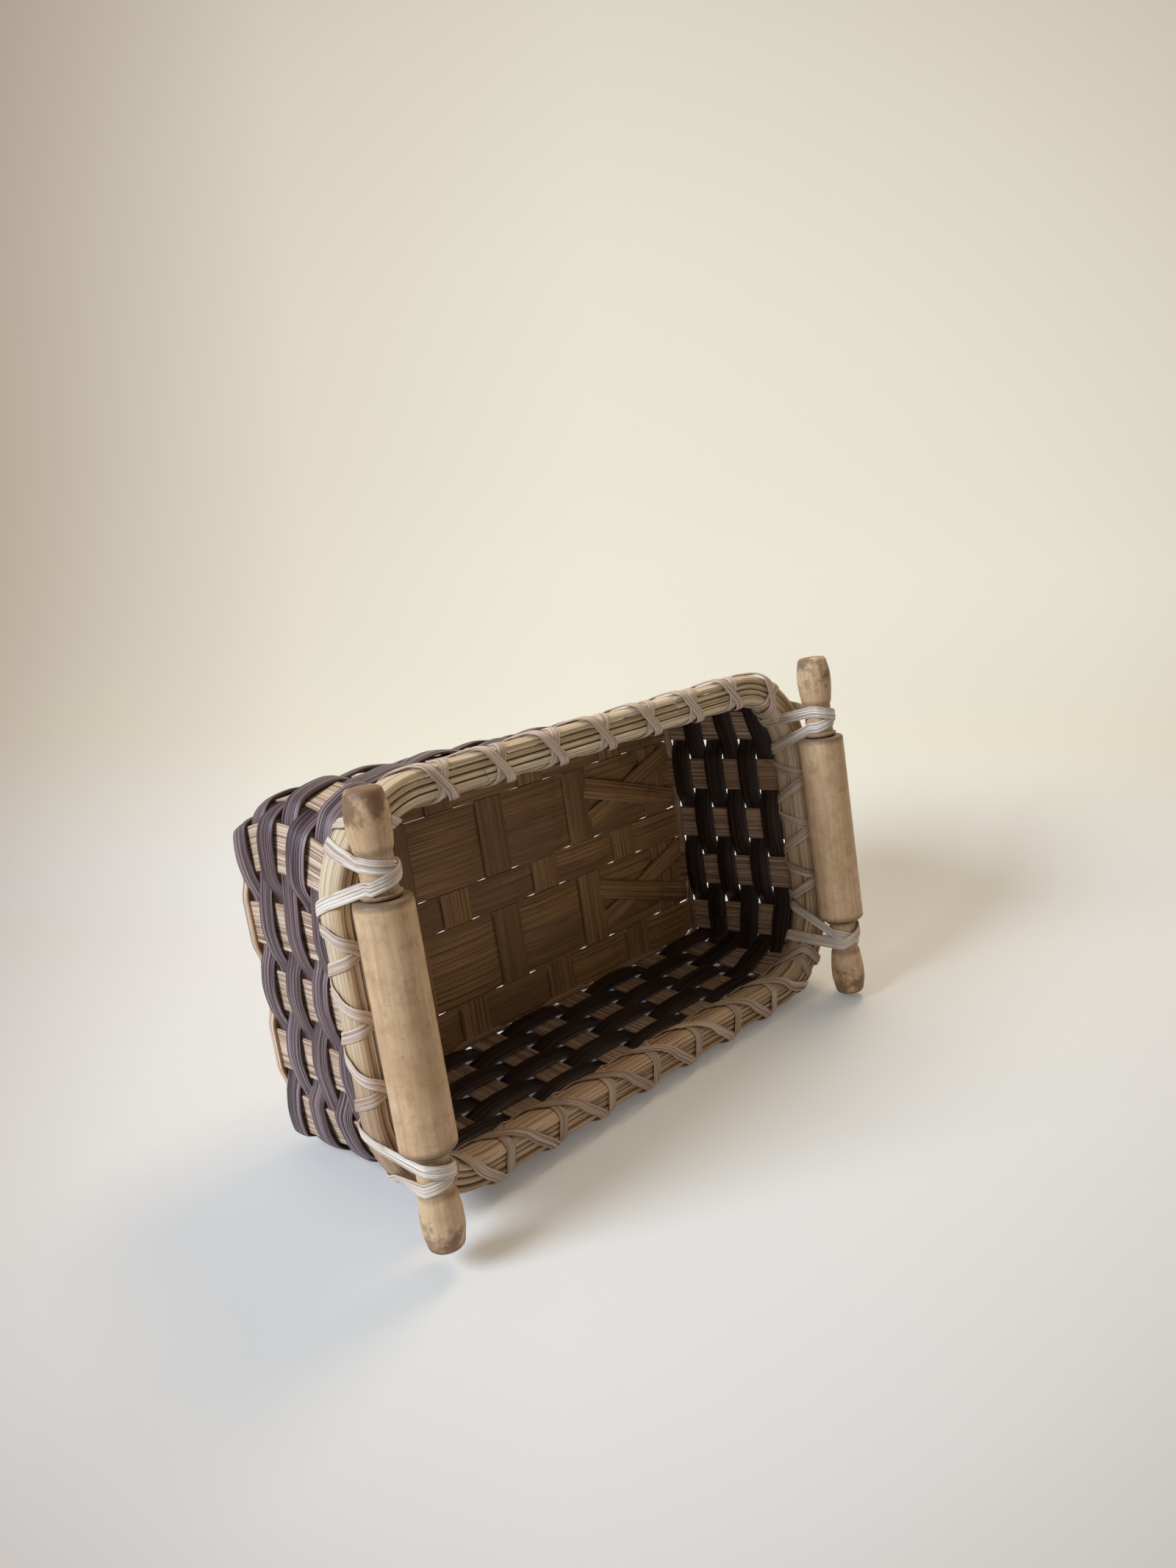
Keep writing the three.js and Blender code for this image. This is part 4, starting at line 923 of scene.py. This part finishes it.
def fibre_group():
    group = bpy.data.node_groups.new("reed_fibres", "ShaderNodeTree")
    for name in ("Along", "Across"):
        group.interface.new_socket(name, in_out="INPUT", socket_type="NodeSocketFloat")
    for name in FIBRE_NOISES:
        group.interface.new_socket(name, in_out="OUTPUT", socket_type="NodeSocketFloat")
    given, made = group.nodes.new("NodeGroupInput"), group.nodes.new("NodeGroupOutput")
    uv = add(group, "UVMap", uv_map="reed").outputs["UV"]
    for name, (along, across, detail, rough) in FIBRE_NOISES.items():
        x = computed(group, "MULTIPLY", given.outputs["Along"], along)
        y = computed(group, "MULTIPLY", given.outputs["Across"], across)
        where = moved(group, "MULTIPLY", uv, add(group, "CombineXYZ", {"X": x, "Y": y}).outputs[0])
        value = noise(group, where, 1.0, detail, rough, "2D")
        if name == "Fleck":
            value = mapped(group, value, FLECK_FROM, FLECK_TO)
        give(group, made, {name: value})
    return group


FIBRES = fibre_group()


def fibres_of(tree, along, across):
    """What the group gives at a material's own scales."""
    return add(tree, "Group", {"Along": along, "Across": across}, node_tree=FIBRES).outputs


print("fibre noises:", list(FIBRE_NOISES))

# %% [markdown]
# Parts of the reed are painted darker, as shade: the upward faces of the base turn a darker golden brown
# for the dim inside of the basket, the dyed rows turn near black on their inward faces, and the front run
# of the rim and its lashings turn browner and darker. So these reeds have a second set of fibre colours,
# which is painted shade and takes over where a face looks up, where it looks in towards the middle of the
# basket, or where it lies towards the front. Painted masks could do the same, one mesh at a time. A
# direction does it for all of them.

# %% A reed finish made from that group
FIBRE_STOPS = (0.42, 0.5, 0.58)
TURN_FROM, TURN_TO = 0.1, 0.6  # how far a face looks that way, between which the painted shade colours take over
STAIN_FROM, STAIN_TO = 0.42, 0.66
DEEP_FROM, DEEP_TO = 0.45, 0.62
GLOSS_FROM, GLOSS_TO, DULLER, GLOSSIER = 0.35, 0.65, 0.12, 0.1
BASKET_MIDDLE = (0.0, 0.0, 55 * MM)
TO_FRONT = (0.0, -1 / (60 * MM), 0.0)  # 1 at the front wall, 0 across the middle


def looking_up(tree):
    return dot(tree, add(tree, "NewGeometry").outputs["Normal"], Z_AXIS)


def looking_in(tree):
    place = add(tree, "NewGeometry").outputs
    way = moved(tree, "SUBTRACT", BASKET_MIDDLE, place["Position"])
    return dot(tree, place["Normal"], moved(tree, "NORMALIZE", way))


def lying_in_front(tree):
    return dot(tree, add(tree, "NewGeometry").outputs["Position"], TO_FRONT)


def reed_finish(name, along, across, fibre, stain, fleck, rough, ridge, painted_shade=None):
    """fibre holds a dark, a middle and a light colour, all linear, stain and fleck a colour and its share.
    The last argument holds a direction, three darker colours that paint shade where a face looks that way,
    and the share of their dark stain."""
    material, tree, surface = new_finish(name)
    fibres = fibres_of(tree, along, across)
    blend = add(tree, "Mix", {"Factor": 0.5, "A": fibres["Streak"], "B": fibres["Fine"]})
    value = blend.outputs["Result"]
    colour = ramp_of(tree, value, list(zip(FIBRE_STOPS, fibre)))
    colour = tinted(tree, colour, fibres["Tone"], STAIN_FROM, STAIN_TO, *stain)
    # painted shade: a darker set of fibre colours takes over where a face looks the given way
    if painted_shade:
        looking, shade_fibre, dark_share = painted_shade
        shade_colour = ramp_of(tree, value, list(zip(FIBRE_STOPS, shade_fibre)))
        shade_colour = tinted(tree, shade_colour, fibres["Tone"], DEEP_FROM, DEEP_TO, shade_fibre[0], dark_share)
        colour = tinted(tree, colour, looking(tree), TURN_FROM, TURN_TO, shade_colour, 1.0)
    colour = tinted(tree, colour, fibres["Fleck"], 0.0, 1.0, *fleck)
    gloss = mapped(tree, value, GLOSS_FROM, GLOSS_TO, rough + DULLER, rough - GLOSSIER)
    give(tree, surface, {"Base Color": colour, "Roughness": gloss, "Normal": ridges(tree, value, ridge)})
    return material


# painted shade: the last set gives the upward faces of the base a darker golden brown
STAKE_FINISH = reed_finish(
    "natural_reed", 0.8, 75, [(0.25, 0.145, 0.095), (0.58, 0.41, 0.30), (0.76, 0.61, 0.49)],
    ((0.38, 0.22, 0.135), 0.5), ((0.12, 0.065, 0.038), 0.5), 0.6, 0.35,
    (looking_up, [(0.20, 0.104, 0.043), (0.385, 0.205, 0.081), (0.51, 0.29, 0.125)], 0.65))
# painted shade: the last set turns the rows' inward faces near black
WEAVER_FINISH = reed_finish(
    "dyed_reed", 0.7, 70, [(0.014, 0.008, 0.009), (0.085, 0.049, 0.056), (0.32, 0.225, 0.25)],
    ((0.07, 0.034, 0.034), 0.6), ((0.016, 0.01, 0.012), 0.4), 0.45, 0.6,
    (looking_in, [(0.012, 0.007, 0.007), (0.03, 0.018, 0.018), (0.085, 0.058, 0.058)], 0.3))
# painted shade: the last set makes the front run of the rim browner and darker
RIM_FINISH = reed_finish(
    "rim_reed", 0.35, 60, [(0.42, 0.29, 0.16), (0.74, 0.605, 0.43), (0.87, 0.775, 0.62)],
    ((0.50, 0.32, 0.16), 0.6), ((0.10, 0.055, 0.028), 0.6), 0.56, 0.4,
    (lying_in_front, [(0.27, 0.155, 0.08), (0.57, 0.385, 0.245), (0.73, 0.55, 0.395)], 0.5))
# painted shade: the last set makes the lashings along the front run browner and darker
LASH_FINISH = reed_finish(
    "lashing_reed", 1.0, 90, [(0.37, 0.26, 0.20), (0.67, 0.53, 0.44), (0.80, 0.69, 0.61)],
    ((0.54, 0.375, 0.28), 0.45), ((0.17, 0.10, 0.07), 0.5), 0.55, 0.3,
    (lying_in_front, [(0.28, 0.18, 0.13), (0.56, 0.41, 0.325), (0.71, 0.58, 0.49)], 0.4))
TIE_FINISH = reed_finish(
    "pin_tie_reed", 1.0, 80, [(0.40, 0.295, 0.235), (0.71, 0.61, 0.53), (0.86, 0.79, 0.72)],
    ((0.60, 0.465, 0.37), 0.4), ((0.17, 0.10, 0.07), 0.55), 0.52, 0.3)

# %% [markdown]
# The pins are plain turned wood with a dry, handled look: faint grain, brown stains that gather towards
# the ends of the knobs, and a thin burnt edge at both ends of the barrel. The burnt edges and the stained
# knobs lie at fixed distances from the pin's middle, so they are read from the object's own Y axis, which
# the barrel turns about.

# %% The finish of the pins
KNOB_AT = (HANDLE_FOOT + COLLAR_LENGTH + NECK_LENGTH) / (PIN_LENGTH / 2)
EDGE_AT = BARREL_LENGTH / 2 / (PIN_LENGTH / 2)
# Shares of the way from the pin's middle to its end, and how stained or burnt the wood is there
STAINED = ((0.0, 0.12), (EDGE_AT - 0.01, 0.12), (KNOB_AT + 0.02, 0.35), (KNOB_AT + 0.12, 0.7), (1.0, 0.88))
BURNT = ((EDGE_AT - 0.035, 0.0), (EDGE_AT - 0.02, 0.6), (EDGE_AT - 0.005, 1.0), (EDGE_AT + 0.02, 0.6),
         (EDGE_AT + 0.05, 0.0), (KNOB_AT - 0.02, 0.0), (KNOB_AT + 0.005, 0.6), (KNOB_AT + 0.03, 0.0))
WOOD_GRAIN = ((0.3, (0.58, 0.385, 0.22)), (0.5, (0.67, 0.455, 0.275)), (0.7, (0.73, 0.52, 0.33)))
# Scale and detail of the spots, the values between which they set in, their colour and their share
WOOD_SPOTS = ((45, 3, 0.4, 0.7, (0.46, 0.265, 0.13), 0.55), (160, 4, 0.48, 0.7, (0.40, 0.225, 0.11), 0.6),
              (700, 2, 0.6, 0.72, (0.30, 0.16, 0.075), 0.3))
BLOTCH_TINT, BURNT_TINT = (0.32, 0.44, (0.16, 0.077, 0.034), 0.8), (0.0, 1.0, (0.10, 0.055, 0.03), 0.8)
WOOD_SCALES, BLOTCHES, WOOD_PORES = (2.0, 45), (130, 4), (400, 3)
WOOD_ROUGH, WOOD_PORE_DEPTH = 0.55, 0.12


def grey_ramp(tree, value, stops):
    return ramp_of(tree, value, [(place, (grey,) * 3) for place, grey in stops])


def pin_finish():
    material, tree, surface = new_finish("pin_wood")
    where = add(tree, "TexCoord").outputs["Object"]
    outwards = computed(tree, "ABSOLUTE", dot(tree, where, Y_AXIS))
    share = computed(tree, "DIVIDE", outwards, PIN_LENGTH / 2 * MM)
    colour = ramp_of(tree, fibres_of(tree, *WOOD_SCALES)["Streak"], WOOD_GRAIN)
    for scale, detail, low, high, tint, amount in WOOD_SPOTS:
        colour = tinted(tree, colour, noise(tree, where, scale, detail), low, high, tint, amount)
    blotch = computed(tree, "MULTIPLY", noise(tree, where, *BLOTCHES), grey_ramp(tree, share, STAINED))
    colour = tinted(tree, colour, blotch, *BLOTCH_TINT)
    colour = tinted(tree, colour, grey_ramp(tree, share, BURNT), *BURNT_TINT)
    pores = ridges(tree, noise(tree, where, *WOOD_PORES), WOOD_PORE_DEPTH)
    give(tree, surface, {"Base Color": colour, "Roughness": WOOD_ROUGH, "Normal": pores})
    return material


PIN_FINISH = pin_finish()
print("finishes:", [m.name for m in bpy.data.materials if m.name.endswith(("reed", "wood"))])

# %% [markdown]
# ## Dressing the frame
# No wall woven by hand is quite straight. The back wall of this basket swells out towards its left end,
# between the base and the rim, which both stay in line. It could be worked into the path of every strip
# that passes there. One smooth push on the finished meshes is shorter, and since neighbours move together
# they still fit each other.

# %% The swell of the back wall
SWELL = 9.0
SWELL_ALONG = -80.0, 120.0  # full at the left of the first place, gone at the second
SWELL_BACK = 20.0, 62.0  # starts on the left wall at the first place and is full at the second
WOVEN = "natural_reed", "dark_reed"


def swollen(mesh):
    """Push the back wall out, most at its left end and half way up."""
    places = np.empty(3 * len(mesh.vertices))
    mesh.vertices.foreach_get("co", places)
    places = places.reshape(-1, 3)
    x, y, z = places.T / MM
    height = np.sin(math.pi * np.clip(z / RIM_FOOT, 0, 1))
    left = np.clip((SWELL_ALONG[1] - x) / (SWELL_ALONG[1] - SWELL_ALONG[0]), 0, 1)
    back = np.clip((y - SWELL_BACK[0]) / (SWELL_BACK[1] - SWELL_BACK[0]), 0, 1)
    places[:, 1] += SWELL * MM * height * left * back ** 2 * (3 - 2 * back)
    mesh.vertices.foreach_set("co", places.ravel())
    mesh.update()


print("the back wall swells by up to", SWELL, "mm")

# %% [markdown]
# Each dressed piece takes the place of one CAD solid and rides on the same body, and its slot says
# whether it swells with the back wall. The dowels stay as they are, because the barrels and the handles
# hide them.

# %% Put a piece in place of a solid
def put(name, data):
    """A new object in the scene."""
    thing = bpy.data.objects.new(name, data)
    bpy.context.scene.collection.objects.link(thing)
    return thing


def joined(meshes):
    """Several meshes as one, with their UVs."""
    whole = bmesh.new()
    for mesh in meshes:
        whole.from_mesh(mesh)
    whole.to_mesh(meshes[0])
    whole.free()
    for mesh in meshes[1:]:
        bpy.data.meshes.remove(mesh)
    return meshes[0]


def dress(node, meshes, finish, slot, body="basket"):
    mesh = joined(meshes) if len(meshes) > 1 else meshes[0]
    if slot in WOVEN:
        swollen(mesh)
    mesh.name = node + "_reed"
    mesh.materials.append(finish)
    piece = put(node + "_dressed", mesh)
    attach(piece, body)
    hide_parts(node)
    return piece

# %% [markdown]
# First come the strips of the base, in the order in which a maker lays them out: the stakes across, the
# stakes along and the wide fillers. They could all be one mesh, but then no strip could be picked up,
# checked or replaced on its own.

# %% Stakes and fillers
STAKE_SECTION = flat_reed(STAKE_THICK)
ROOTED_SECTION = flat_reed(STAKE_THICK - 0.04)  # thinner than the filler in which it is rooted
for k, x in enumerate(CROSS_PLACES):
    dress(f"cross_stake_{k + 1}", [strip(cross_stake(x), STAKE_SECTION)], STAKE_FINISH, "natural_reed")
for name, y in (("front", -OUTER_LANE), ("middle", 0.0), ("back", OUTER_LANE)):
    dress(f"long_stake_{name}", [strip(long_stake(y), STAKE_SECTION)], STAKE_FINISH, "natural_reed")
for name, lane in (("front", -FILLER_LANE), ("back", FILLER_LANE)):
    whole, *ends = filler_paths(lane)
    meshes = [strip(whole, STAKE_SECTION)] + [strip(end, ROOTED_SECTION) for end in ends]
    dress(f"base_filler_{name}", meshes, STAKE_FINISH, "natural_reed")
print("strips so far:", strip_count)

# %% [markdown]
# The rows follow from the foot up: a narrow natural one that sits deep in the corner, six dyed ones, and
# a natural one that the rim hides. They could be modelled one by one. One function weaves them all, so a
# row needs only its place, its height, its thickness and how far it bulges.

# %% Rows
BASE_ROW_DROP = 2.3  # the base row is dressed this much deeper into the corner
ROW_STEP, RIM_ROW_PAST, WEAVER_EDGE = 3, 0.3, 0.095
ROW_SECTION, WEAVER_SECTION = flat_reed(NATURAL_THICK), domed_reed(WEAVER_THICK, WEAVER_EDGE)
FLAT_LIFTS = 0, 0
BASE_ROW_AT = BEND_RISE + (BASE_ROW_HEIGHT - BASE_ROW_DROP) / 2
RIM_ROW_AT, RIM_ROW_HEIGHT = (RIM_FOOT + STAKE_TOP) / 2, STAKE_TOP - RIM_FOOT - 2 * GAP
base_row = woven_row(0, BASE_ROW_AT, BASE_ROW_HEIGHT + BASE_ROW_DROP, NATURAL_THICK, FLAT_LIFTS)
dress("base_row", [strip(base_row, ROW_SECTION, ROW_STEP)], STAKE_FINISH, "natural_reed")
for row in range(1, ROW_COUNT + 1):
    z = ROWS_FOOT + ROW_HEIGHT / 2 + (row - 1) * (ROW_HEIGHT + ROW_GAP)
    weaver = woven_row(row, z, ROW_HEIGHT + ROW_SNUG, WEAVER_THICK, WEAVER_LIFTS)
    dress(f"weaver_row_{row}", [strip(weaver, WEAVER_SECTION)], WEAVER_FINISH, "dark_reed")
rim_row = woven_row(ROW_COUNT + 1, RIM_ROW_AT, RIM_ROW_HEIGHT, NATURAL_THICK, FLAT_LIFTS, RIM_ROW_PAST)
dress("rim_row", [strip(rim_row, ROW_SECTION, ROW_STEP)], STAKE_FINISH, "natural_reed")
print("strips so far:", strip_count)

# %% [markdown]
# The bands and the thin reeds close the top. Then each side is lashed, and each neck of the pins is tied
# on. The four ties could be copies of one, but they were not all pulled alike, so each is told where it
# crosses over the neck.

# %% Rim and lashings
OUTER_JOINT, INNER_JOINT = 45, -75  # places of the joints along the rim
LASH_STEP, TIE_STEP = 2.0, 1.2
LASH_SECTION, TIE_SECTION = ridged_reed(STRAND_THICK, 3, 0.22), ridged_reed(STRAND_THICK, 4, 0.24)
for name, profile in (("rim_{}_band", band_profile), ("rim_filler_{}", rim_filler_profile)):
    for side, outwards, joint in (("outer", 1, OUTER_JOINT), ("inner", -1, INNER_JOINT)):
        dress(name.format(side), [rim_bar(profile(outwards), joint)], RIM_FINISH, "rim_reed")
for name, stakes, way, cross in (("back", BACK, 1, EVEN_CROSS), ("right", RIGHT[1:-1], 1, EVEN_CROSS),
                                 ("front", FRONT, 1, FRONT_CROSS), ("left", LEFT[1:-1], -1, EVEN_CROSS)):
    lashing = strip(rim_lashing(stakes, way, cross), LASH_SECTION, LASH_STEP)
    dress(f"rim_lashing_{name}", [lashing], LASH_FINISH, "lashing_reed")
for side, end, right, back, crossing in (("left", "front", -1, -1, 0.08), ("left", "back", -1, 1, 0.08),
                                         ("right", "front", 1, -1, 0.35), ("right", "back", 1, 1, 0.92)):
    tie = strip(pin_lashing(right, back, crossing), TIE_SECTION, TIE_STEP)
    dress(f"pin_lashing_{side}_{end}", [tie], TIE_FINISH, "lashing_reed")
print("strips so far:", strip_count)

# %% [markdown]
# A pin's barrel turns on its dowel, so it rides on a body of its own, while the two handles are tied down
# and belong to the basket. A whole pin could be spun as one profile, but then nothing could turn.

# %% Pins
for side, right in (("left", -1), ("right", 1)):
    x = right * PIN_X
    barrel = turned(barrel_profile(), x, 0, ring=True)
    dress(f"pin_{side}_barrel", [barrel], PIN_FINISH, "pin_wood", f"{side}_barrel")
    for end, back in (("front", -1), ("back", 1)):
        knob = turned(handle_profile(), x, back * HANDLE_FOOT, back)
        dress(f"pin_{side}_handle_{end}", [knob], PIN_FINISH, "pin_wood")
    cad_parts[f"pin_{side}_axle"].data.materials.clear()
    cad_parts[f"pin_{side}_axle"].data.materials.append(PIN_FINISH)

# %% [markdown]
# ## Floor, light and camera
# In the photograph the basket lies on one of its long sides, with its mouth to the camera. The basket
# keeps its own upright frame here, so the floor is the plane that it would lie on, and the camera is
# turned with it. Behind the basket the floor sweeps up into a wall, as a sheet of paper in a studio does,
# so no edge shows. The sweep shows only from its front, which keeps the other sides of the basket in
# view.

# %% The camera, fitted to the photograph
def photo_camera():
    place = np.array([-381.41, 157.01, 467.55])
    turn = np.array([0.114544, 0.780248, 0.214219])
    focal_pixels, image_height = 1685.56, 2133
    angle = float(np.linalg.norm(turn))
    to_camera = Matrix.Rotation(angle, 3, tuple(turn / angle))
    data = bpy.data.cameras.new("photo_camera")
    data.sensor_fit = "VERTICAL"
    data.sensor_height = 36.0
    data.lens = focal_pixels / image_height * data.sensor_height
    data.clip_start = 0.01
    camera = put("photo_camera", data)
    camera.matrix_world = Matrix.Translation(place * MM) @ to_camera.transposed().to_4x4()
    bpy.context.scene.camera = camera
    return camera


camera = photo_camera()
print("lens:", round(camera.data.lens, 1), "mm")

# %% [markdown]
# The floor and the lamps are easier to place by what the picture shows than by the basket's axes. So
# three directions are fitted to the photograph along with the camera: up from the floor, ahead and
# across.

# %% Directions of the picture
FLOOR_UP = unit(np.array([0.0, 0.977, 0.213]))
AHEAD = unit(np.array([0.733, 0.176, -0.657]))
ACROSS = np.cross(AHEAD, FLOOR_UP)
FLOOR_LEVEL = -68.3


def in_picture(across, up, ahead):
    """A place in millimetres across the picture, up from the floor and away from the camera."""
    return FLOOR_UP * FLOOR_LEVEL + ACROSS * across + FLOOR_UP * up + AHEAD * ahead


print("floor under the basket:", in_picture(0, 0, 0).round(1))

# %% [markdown]
# The paper's colour carries painted light: painted shade darkens it at the picture's edges and to the
# left, and its wall is painted warmer than its floor, for the warm light that falls on it. More light
# would bleach the basket, so part of the paper's brightness is its own glow, which only the camera and
# mirrored rays see.

# %% The finish of the paper
# painted light: the wall is warmer than the floor for the warm light on it, the floor cooler for daylight
PAPER_FLOOR, PAPER_WALL = (0.92, 0.935, 0.94), (0.90, 0.86, 0.73)
PAPER_GLOW = (0.10, 0.75)  # share of the brightness that no shadow reaches, on the floor and on the wall
PAPER_ROUGH, PAPER_SHINE = 0.95, 0.1
COLOUR_RISE = 0.0, 80.0  # heights between which the floor's colour turns into the wall's
GLOW_RISE = 25.0, 190.0  # and its glow into the wall's
WHITE = (1.0, 1.0, 1.0)
# Painted shade of the paper, by the cosine of the angle off the view's axis and by the metres across the
# picture
EDGE_SHADE = ((0.76, (0.69, 0.645, 0.63)), (0.85, (0.86, 0.835, 0.83)), (0.92, (0.95, 0.935, 0.93)),
              (1.0, WHITE))
SIDE_SHADE = ((-0.42, (0.54, 0.475, 0.435)), (-0.16, (0.91, 0.885, 0.87)), (0.04, WHITE))


def off_axis(tree, position):
    """The cosine of the angle between the photo camera's axis and the way to a position."""
    way = moved(tree, "SUBTRACT", position, camera.matrix_world.translation)
    return dot(tree, moved(tree, "NORMALIZE", way), -camera.matrix_world.col[2].xyz)


def shaded(tree, colour, value, stops):
    """A colour darkened by shades at stops along a value."""
    low, high = stops[0][0], stops[-1][0]
    places = [((place - low) / (high - low), shade) for place, shade in stops]
    return moved(tree, "MULTIPLY", colour, ramp_of(tree, mapped(tree, value, low, high), places))


def risen(tree, height, rise):
    """0 on the floor and 1 on the wall, turning between two heights."""
    low, high = ((FLOOR_LEVEL + up) * MM for up in rise)
    return mapped(tree, height, low, high, kind="SMOOTHSTEP")


def paper_finish():
    material, tree, surface = new_finish("pale_paper")
    geometry = add(tree, "NewGeometry").outputs
    height = dot(tree, geometry["Position"], FLOOR_UP)
    colour = ramp_of(tree, risen(tree, height, COLOUR_RISE), [(0.0, PAPER_FLOOR), (1.0, PAPER_WALL)])
    colour = shaded(tree, colour, off_axis(tree, geometry["Position"]), EDGE_SHADE)
    colour = shaded(tree, colour, dot(tree, geometry["Position"], ACROSS), SIDE_SHADE)
    give(tree, surface, {"Base Color": colour, "Roughness": PAPER_ROUGH, "Specular IOR Level": PAPER_SHINE})
    glow = add(tree, "Emission", {"Color": colour}).outputs["Emission"]
    ray = add(tree, "LightPath").outputs
    mirrored = computed(tree, "MAXIMUM", ray["Is Glossy Ray"], ray["Is Transmission Ray"])
    seen = computed(tree, "MAXIMUM", ray["Is Camera Ray"], mirrored)
    glowing = mapped(tree, risen(tree, height, GLOW_RISE), 0.0, 1.0, *PAPER_GLOW)
    share = computed(tree, "MULTIPLY", seen, glowing)
    lit = add(tree, "MixShader", {"Fac": share, 1: surface.outputs["BSDF"], 2: glow}).outputs["Shader"]
    clear = add(tree, "BsdfTransparent").outputs["BSDF"]
    either = add(tree, "MixShader", {"Fac": geometry["Backfacing"], 1: lit, 2: clear}).outputs["Shader"]
    give(tree, tree.nodes["Material Output"], {"Surface": either})
    return material

# %% [markdown]
# The sweep is a strip of faces along a profile: the floor, a quarter circle and the wall. A folded plane
# with a Bevel modifier would look the same, but a profile says in plain numbers where the bend begins.

# %% The paper sweep
SWEEP_STEPS = 24


def paper_sweep(front, bend_at, radius, wall_top, width):
    """A floor that turns up into a wall at bend_at millimetres behind the basket's middle."""
    profile = [(front, 0.0)]
    for k in range(SWEEP_STEPS + 1):
        angle = math.pi / 2 * k / SWEEP_STEPS
        profile.append((bend_at + radius * math.sin(angle), radius * (1 - math.cos(angle))))
    profile.append((bend_at + radius, wall_top))
    corners = [in_picture(side * width, up, ahead) for ahead, up in profile for side in (1, -1)]
    faces = [(2 * k, 2 * k + 2, 2 * k + 3, 2 * k + 1) for k in range(len(profile) - 1)]
    mesh = bpy.data.meshes.new("paper_sweep")
    mesh.from_pydata((np.array(corners) * MM).tolist(), [], faces)
    mesh.polygons.foreach_set("use_smooth", [True] * len(faces))
    mesh.materials.append(paper_finish())
    paper = put("paper_sweep", mesh)
    paper.visible_shadow = False
    return paper


paper = paper_sweep(front=-3000.0, bend_at=75, radius=240, wall_top=2500, width=3000)
print("paper faces", tuple(round(v, 3) for v in paper.data.polygons[0].normal))

# %% [markdown]
# A large cool window lights the basket from the left, a small warm lamp hangs above and behind it, and a
# pale room fills the shadows. A picture of a room could light it too, but two lamps and a plain world are
# easier to follow and to change.

# %% Soft light
LOOK_AT = in_picture(0, 80, 0) * MM


def soft_lamp(name, place, size, watts, colour):
    """A round lamp at a place in the picture, turned to the basket."""
    place = in_picture(*place) * MM
    data = bpy.data.lights.new(name, "AREA")
    data.shape = "DISK"
    data.size = size
    data.energy = watts
    data.color = colour
    lamp = put(name, data)
    away = unit(place - LOOK_AT)
    side = unit(np.cross(FLOOR_UP, away))
    lamp.matrix_world = Matrix([*zip(side, np.cross(away, side), away, place), (0, 0, 0, 1)])


def pale_world(colour, strength):
    world = bpy.data.worlds.new("pale_world")
    world.use_nodes = True
    backing = world.node_tree.nodes["Background"]
    give(world.node_tree, backing, {"Color": (*colour, 1), "Strength": strength})
    bpy.context.scene.world = world


soft_lamp("window", (-2090, 1625, -1310), size=1.25, watts=85, colour=(0.76, 0.87, 0.98))
soft_lamp("ceiling", (300, 1190, 490), size=0.5, watts=4.8, colour=(1.0, 0.77, 0.48))
pale_world(colour=(1.0, 0.88, 0.71), strength=0.23)
bpy.context.scene.view_settings.view_transform = "Standard"
